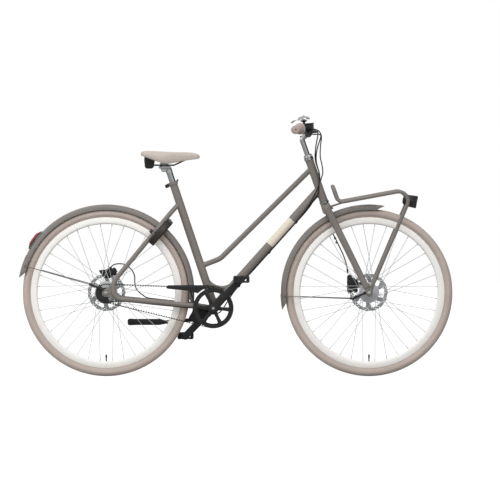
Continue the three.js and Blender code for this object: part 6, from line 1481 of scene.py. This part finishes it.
def cranks():
    """Both arms, the right one with its spider and bolt."""
    right = plate([arm_outline(-1)], ARM_THICKNESS, -ARM_SIDE, 0.0026, CRANK_CENTRE)
    pieces = [right, *spider(), spindle_hub(-37.5, -68, 0.0235)]
    reach = (AHEAD * cos(CRANK_ANGLE) + UP * sin(CRANK_ANGLE)) * CRANK_LENGTH / 1000
    centre = Vector((CRANK.x, 0, CRANK.z))
    end = centre + reach
    pieces.append(pedal_spindle(end, -1))
    rebuilt(joined(pieces), "right_crank_arm", BLACK, "crank_right", 40)
    dressed(spindle_hub(-79, -82.2, 0.0058), "crank_bolt", SILVER, "crankset")
    left = plate([arm_outline(1)], ARM_THICKNESS, ARM_SIDE, 0.0026, CRANK_CENTRE)
    far_end = centre - reach
    pieces = [left, spindle_hub(-37, 68, 0.0085), spindle_hub(42, 68, 0.0190)]
    pieces.append(pedal_spindle(far_end, 1))
    rebuilt(joined(pieces), "left_crank_arm", BLACK, "crank_left", 40)
    rim_band = turned(mm(
        (-61.8, 66), (-61.8, 83.5), (-61.2, 83.8), (-60.6, 83.5), (-60.6, 70), (-57.5, 67.2), (-57.5, 65.5),
    ), centre, ACROSS, 96)
    dressed(rim_band, "belt_ring_face", BLACK, "crankset")


def pedal(name, side):
    """A cage of two shaped plates and two treaded bars round a barrel."""
    x, z = polar(CRANK_LENGTH, degrees(crank_way(side)), (0, CRANK_HEIGHT))
    middle_place = (CRANK.x + x / 1000, z / 1000)
    pieces = []
    edge = mirrored(mm(
        (-34, -9), (-30, -14), (-20, -14), (-17, -12.5), (-14, -14), (-4, -14), (-1, -12.5), (2, -14),
        (12, -14), (15, -12.5), (18, -14), (30, -14), (34, -9),
    ), (1, -1))
    window = mm((15, -8), (26, -8), (29, -5), (29, 5), (26, 8), (15, 8), (13, 5), (13, -5))
    slit = mm((-27, -6), (-21, -6), (-21, 6), (-27, 6))
    for y in (87.5, 171):
        pieces.append(plate([edge, window, slit], 0.0075, side * y / 1000, 0.0012, middle_place))
    across = PEDAL_SHIFT if side > 0 else 0
    for bar in (x - 27, x + 27):
        for width, inset, height, bevel in ((6.5, 0, 12, 0.002), (4.5, 1, 12.8, 0.001)):
            low = spot(bar - width, across - 172 + inset, z - height)
            high = spot(bar + width, across - 86 - inset, z + height)
            pieces.append(block(low, high, bevel))
    start, end = sorted((side * 85, side * 172))
    pieces.append(rod(spot(x, start, z), spot(x, end, z), 0.0108, 28))
    rebuilt(joined(pieces), name + "_cage", PLASTIC, name)


cranks()
pedal("pedal_right", -1)
pedal("pedal_left", 1)

# Belt guard, stand, lock and calipers


def guard():
    """The shield over the belt: a slim bar that widens and follows the ring."""
    around_ring = arc(88.5, 64, 136, 18, (0, 287.66))
    outline = [
        (-190, 368.4), (-196, 371), (-197, 376), (-193, 381), (-186, 382.7), (-20, 382.7), (4, 381.5),
        (22, 378), (36.5, 372.5),
    ]
    shape = mm(*outline, *around_ring, (-82, 354), (-100, 359.5), (-130, 363))
    face = plate([shape], 0.0028, -0.0635, 0.0008, CRANK_MARK)
    edge = mm((-190, 381), (-20, 381.4), (-20, 384), (-190, 383.6))
    lip = plate([edge], 0.010, -0.0599, 0.0006, CRANK_MARK)
    strut = rod(spot(-96, -62.5, 358), spot(-78, -40, 306), 0.0028, 16)
    rebuilt(joined([face, lip, strut]), "belt_shield", PLASTIC, "belt_guard")


def stand_rubber():
    """Black rubber with a moulded criss-cross."""
    finish = Finish("stand_rubber", "0d0d0d", 0.62)
    x, _, z = finish.parts(finish.place)
    lattice = ((x * 520 + z * 700).wave() > 0.86) + ((x * 520 - z * 700).wave() > 0.86)
    finish.tint(lattice * 0.35, "0d0d0d", "3a3a3a")
    finish.roughened(300, 2, 0.52, 0.7)
    finish.bump(lattice * -1 + finish.noise(900, 1) * 0.1, 0.0006)
    return finish


def stand():
    """The swinging leg: hinge knuckle, arm, and a fat ribbed foot."""
    knuckle = turned(mirrored(mm((-7, 4.3), (-7, 12), (-6, 13))), STAND_PIVOT, STAND_HINGE, 36)
    bends = [spot(-100, STAND_SIDE, 234), spot(-200, STAND_SIDE, 226), spot(-225, STAND_SIDE, 226)]
    leg = tube(rounded([STAND_PIVOT - AHEAD * 0.011, *bends], 0.040, 6), 0.0080, 24)
    cuff = rod(spot(-205, STAND_SIDE, 226), spot(-224, STAND_SIDE, 226), 0.0095, 24, 0.0120)
    rebuilt(joined([knuckle, leg, cuff]), "stand_arm", PLASTIC, "kickstand")
    foot = turned(mm(
        (0, 0), (0, 9.5), (3, 12.5), (8, 13.2), (112, 13.2), (118, 14), (130, 14.5), (137, 13), (141, 9),
        (141.5, 0),
    ), spot(-220, STAND_SIDE, 226), -AHEAD, 40)
    dressed(foot, "stand_foot", stand_rubber(), "stand")
    housing = plate([mm(
        (-104, 246), (-98, 232), (-86, 226), (-68, 222), (-52, 230), (-38, 240), (-26, 256), (-24, 276),
        (-28, 300), (-74, 302), (-84, 290), (-90, 268),
    )], 0.0085, 0.0285, 0.002, CRANK_MARK)
    bolts = [rod(spot(x, 24, z), spot(x, 22, z), 0.0045, 6) for x, z in ((-86, 246), (-46, 252), (-50, 286))]
    dressed(joined([housing, *bolts]), "stand_mount", PLASTIC, "frame")


def ring_lock():
    """The horseshoe housing, thickened along the stays, with its mounts."""
    shell = smooth_copy("lock_housing", 0.0016, 30)
    centre = middle("lock_housing")
    turn = Matrix.Rotation(LOCK_TURN, 4, "Y")
    about = Matrix.Translation(centre) @ turn.inverted()
    widen = Matrix.Diagonal((1, 1, 1.3, 1))
    shift = Matrix.Translation(Vector((sin(LOCK_TURN), 0, -cos(LOCK_TURN))) * 0.003)
    set_on(shell, shift @ about @ widen @ turn @ Matrix.Translation(-centre))
    rebuilt(shell, "lock_shell", satin_black("lock_coat", "221d1a", "2a2521", 0.42), "lock_housing", 40)
    sleeves = []
    line = (spot(-139, 22, 721) - spot(-418, 73.5, 398.7)).normalized()
    for side in (-1, 1):
        near = spot(-232, side * 39.5, 614)
        way = Vector((line.x, line.y * side, line.z))
        sleeves.append(turned(mm(
            (-30, 10.1), (-30, 11.2), (-24, 14.8), (30, 15.2), (38, 11.2), (38, 10.1),
        ), near, way, 32))
    dressed(joined(sleeves), "lock_sleeves", COAT, "frame")


FRONT_CALIPER = mm(
    (566, 424), (574, 425.5), (581, 421), (585, 412), (592, 414), (600, 404), (607, 401), (612, 391),
    (612, 374), (606, 367), (609, 357), (601, 348), (592, 350), (589, 357), (582, 354), (577, 346),
    (567, 346), (563, 355), (571, 363), (564, 367), (561, 376), (571, 383), (563, 388), (561, 397),
    (572, 402), (564, 408),
)
REAR_CALIPER = mm(
    (-483, 442), (-472, 445), (-464, 439), (-454, 447), (-444, 448), (-440, 457), (-432, 458.5), (-426, 451),
    (-418, 456), (-410, 450), (-404, 438), (-411, 427), (-423, 424), (-427, 414), (-440, 409), (-455, 411),
    (-464, 421), (-474, 428),
)


def caliper(name, shape, halves, bridge, bolts):
    """Two halves either side of the disc, bridged beyond its edge, with fins and bolts."""
    pieces = [plate([shape], thick / 1000, side / 1000, 0.0014, CRANK_MARK) for thick, side in halves]
    low, high = bridge
    pieces.append(block(spot(*low), spot(*high), 0.002))
    thick, side = halves[0]
    for x, z in bolts:
        pieces.append(rod(spot(x, side - thick / 2 - 1, z), spot(x, side, z), 0.0048, 16))
    rebuilt(joined(pieces), name + "_halves", BLACK, name, 30)


guard()
stand()
ring_lock()
caliper(
    "front_brake_caliper", FRONT_CALIPER, [(4.8, 32.4), (11.5, 44)], ((562.5, 30, 352), (570.5, 49, 420)),
    [(584, 402), (590, 366), (602, 385)],
)
caliper(
    "rear_brake_caliper", REAR_CALIPER, [(5.6, 47.2), (14.5, 62.2)], ((-470, 45, 434), (-414, 69, 446)),
    [(-458, 424), (-424, 438), (-442, 430)],
)
for name, body, side, shape in (
    ("front_caliper_arm", "steering", 0.0475, mm((600, 398), (640, 386), (642, 374), (604, 372))),
    ("rear_caliper_arm", "frame", 0.0665, mm((-430, 428), (-404, 430), (-408, 396), (-424, 392))),
):
    dressed(plate([shape], 0.006, side, 0.001, CRANK_MARK), name, BLACK, body)

# Lamps


def head_lamp():
    """A rounded lamp body with a rimmed lens, hung from the carrier's cross rod."""
    axes = grid(steer(*LAMP_PLACE), dipped(LAMP_DIP), ACROSS)
    squash = Matrix.Diagonal((1, 1.18, 1, 1))
    body = turned(mm(
        (-43, 0), (-42.5, 9), (-39.5, 16), (-33, 21.5), (-23, 24.3), (-8, 25.2), (9, 25.6), (10.5, 26.2),
        (17, 26.2), (18, 25.2), (18, 22.2), (11, 21.5), (11, 0),
    ), NOWHERE, AHEAD, 56)
    set_on(body, axes @ squash)
    hood = set_on(block((-0.004, -0.0295, 0.0), (0.0184, 0.0295, 0.0256), 0.004), axes)
    heel = set_on(block((-0.004, -0.0295, -0.0256), (0.0184, 0.0295, 0.0), 0.004), axes)
    lead, height = RACK_LAMP_ROD
    mount = rod(steer(lead, -14, height), steer(lead, 14, height), 0.0072, 24)
    rebuilt(joined([body, mount]), "lamp_body", PLASTIC, "headlight_housing", 45)
    opening = mm((0, 0), (0, 22.3), (30, 22.3), (30, 0))
    for piece in (hood, heel):
        cut(piece, set_on(turned(opening, AHEAD * 0.0105, AHEAD, 48), axes @ squash))
    dressed(joined([hood, heel]), "lamp_bezel", PLASTIC, "steering", 40)
    lens = turned(mm(
        (11.2, 0), (11.2, 21.4), (15, 21.4), (17.2, 18.5), (18.4, 12), (18.8, 0),
    ), NOWHERE, AHEAD, 48)
    rebuilt(set_on(lens, axes @ squash), "lamp_lens", GLASS, "headlight_lens", 50)


def rear_lamp():
    """A slim red lamp that lies along the rear fender, on its black base."""
    base = swept_arc(mm(
        (-17, 371.6), (17, 371.6), (18, 373), (17, 375.2), (-17, 375.2), (-18, 373),
    ), REAR_AXLE, 136.5, 150.5, 16)
    dressed(base, "tail_base", PLASTIC, "frame")
    half = mm((17.0, 379.0), (15.0, 383.5), (10.0, 385.2))
    back = [(-side, radius) for side, radius in half[::-1]]
    section = [(-0.0165, LENS_CROWN), (0.0165, LENS_CROWN), *half, (0, 0.3858), *back]
    lens = swept_arc(section, REAR_AXLE, 137.0, 150.0, 18)
    tapered(lens, REAR_AXLE, LENS_CROWN, 140.0, 137.0, 0.2)
    tapered(lens, REAR_AXLE, LENS_CROWN, 146.5, 150.0, 0.25)
    rebuilt(lens, "tail_lens", RED, "tail_light", 45)


head_lamp()
rear_lamp()

# Pieces whose solids hold their form: rounded edges and their own finish

SLOT_FINISHES = {
    "black_metal": BLACK,
    "black_plastic": PLASTIC,
    "silver_metal": SILVER,
    "cable_rubber": RUBBER,
}

for node in frame["nodes"]:
    if node not in REBUILT:
        kept(node, SLOT_FINISHES[SLOT_OF[node]], 0.0003)

# Light, floor and camera

WORLD_LIGHT = 0.85
FLOOR_GLOW = 0.72
scene = bpy.context.scene


def lamp(name, place, target, size, power):
    """A soft square light."""
    light = made(bpy.ops.object.light_add, type="AREA", location=place)
    light.name = name
    light.data.size = size
    light.data.energy = power
    way = Vector(target) - Vector(place)
    light.rotation_euler = way.to_track_quat("-Z", "Y").to_euler()


def seamless_floor():
    """A white floor that shows as the backdrop's white and keeps only the shadow."""
    floor = made(bpy.ops.mesh.primitive_plane_add, size=30, location=(0, 0, -0.0004))
    floor.name = "studio_floor"
    finish = Finish("studio_floor_white", "a8a8a8", 0.9)
    finish.shades(2, 2, "a6a6a6", 0.5)
    seen = finish.add("ShaderNodeLightPath", output="Is Camera Ray")
    finish.set("Emission Color", seen)
    finish.set("Emission Strength", FLOOR_GLOW)
    floor.data.materials.append(finish.material)


def dark_panel(name, low, high):
    """A dark panel beside the set, which gives bright metal its dark edges."""
    panel = block(low, high, 0.01)
    panel.name = name
    finish = Finish(name + "_cloth", "0c0c0c", 0.95)
    finish.shades(3, 2, "101010", 0.5)
    panel.data.materials.append(finish.material)
    panel.visible_camera = False


def surroundings():
    """Soft white light all round; the camera itself sees plain white."""
    world = bpy.data.worlds.new("studio_world")
    scene.world = world
    world.use_nodes = True
    tree = world.node_tree
    light = tree.nodes["Background"]
    light.inputs["Color"].default_value = (1, 1, 1, 1)
    light.inputs["Strength"].default_value = WORLD_LIGHT
    seen = tree.nodes.new("ShaderNodeBackground")
    seen.inputs["Color"].default_value = (1, 1, 1, 1)
    seen.inputs["Strength"].default_value = 1.0
    path = tree.nodes.new("ShaderNodeLightPath")
    chosen = tree.nodes.new("ShaderNodeMixShader")
    tree.links.new(path.outputs["Is Camera Ray"], chosen.inputs[0])
    tree.links.new(light.outputs[0], chosen.inputs[1])
    tree.links.new(seen.outputs[0], chosen.inputs[2])
    tree.links.new(chosen.outputs[0], tree.nodes["World Output"].inputs["Surface"])


CAMERA_PLACE = (0.0597, -23.333, 1.0)
CAMERA_AIM_HEIGHT = 0.5298
CAMERA_LENS = 400
CAMERA_SENSOR = 36


def camera():
    """The photograph's side view, from the rider's right and a little above the middle."""
    drop = atan2(CAMERA_PLACE[2] - CAMERA_AIM_HEIGHT, -CAMERA_PLACE[1])
    view = made(bpy.ops.object.camera_add, location=CAMERA_PLACE, rotation=(pi / 2 - drop, 0, 0))
    view.data.lens = CAMERA_LENS
    view.data.sensor_width = CAMERA_SENSOR
    view.data.clip_end = 60
    scene.camera = view


scene.view_settings.view_transform = "Standard"
seamless_floor()
dark_panel("front_panel", (2.6, -1.5, 0.3), (2.65, 4.0, 2.4))
surroundings()
lamp("key_light", (1.5, -4.0, 5.0), (0, 0, 0.4), 4.0, 115)
lamp("side_light", (-4.0, -2.5, 2.5), (0, 0, 0.5), 3.0, 48)
camera()
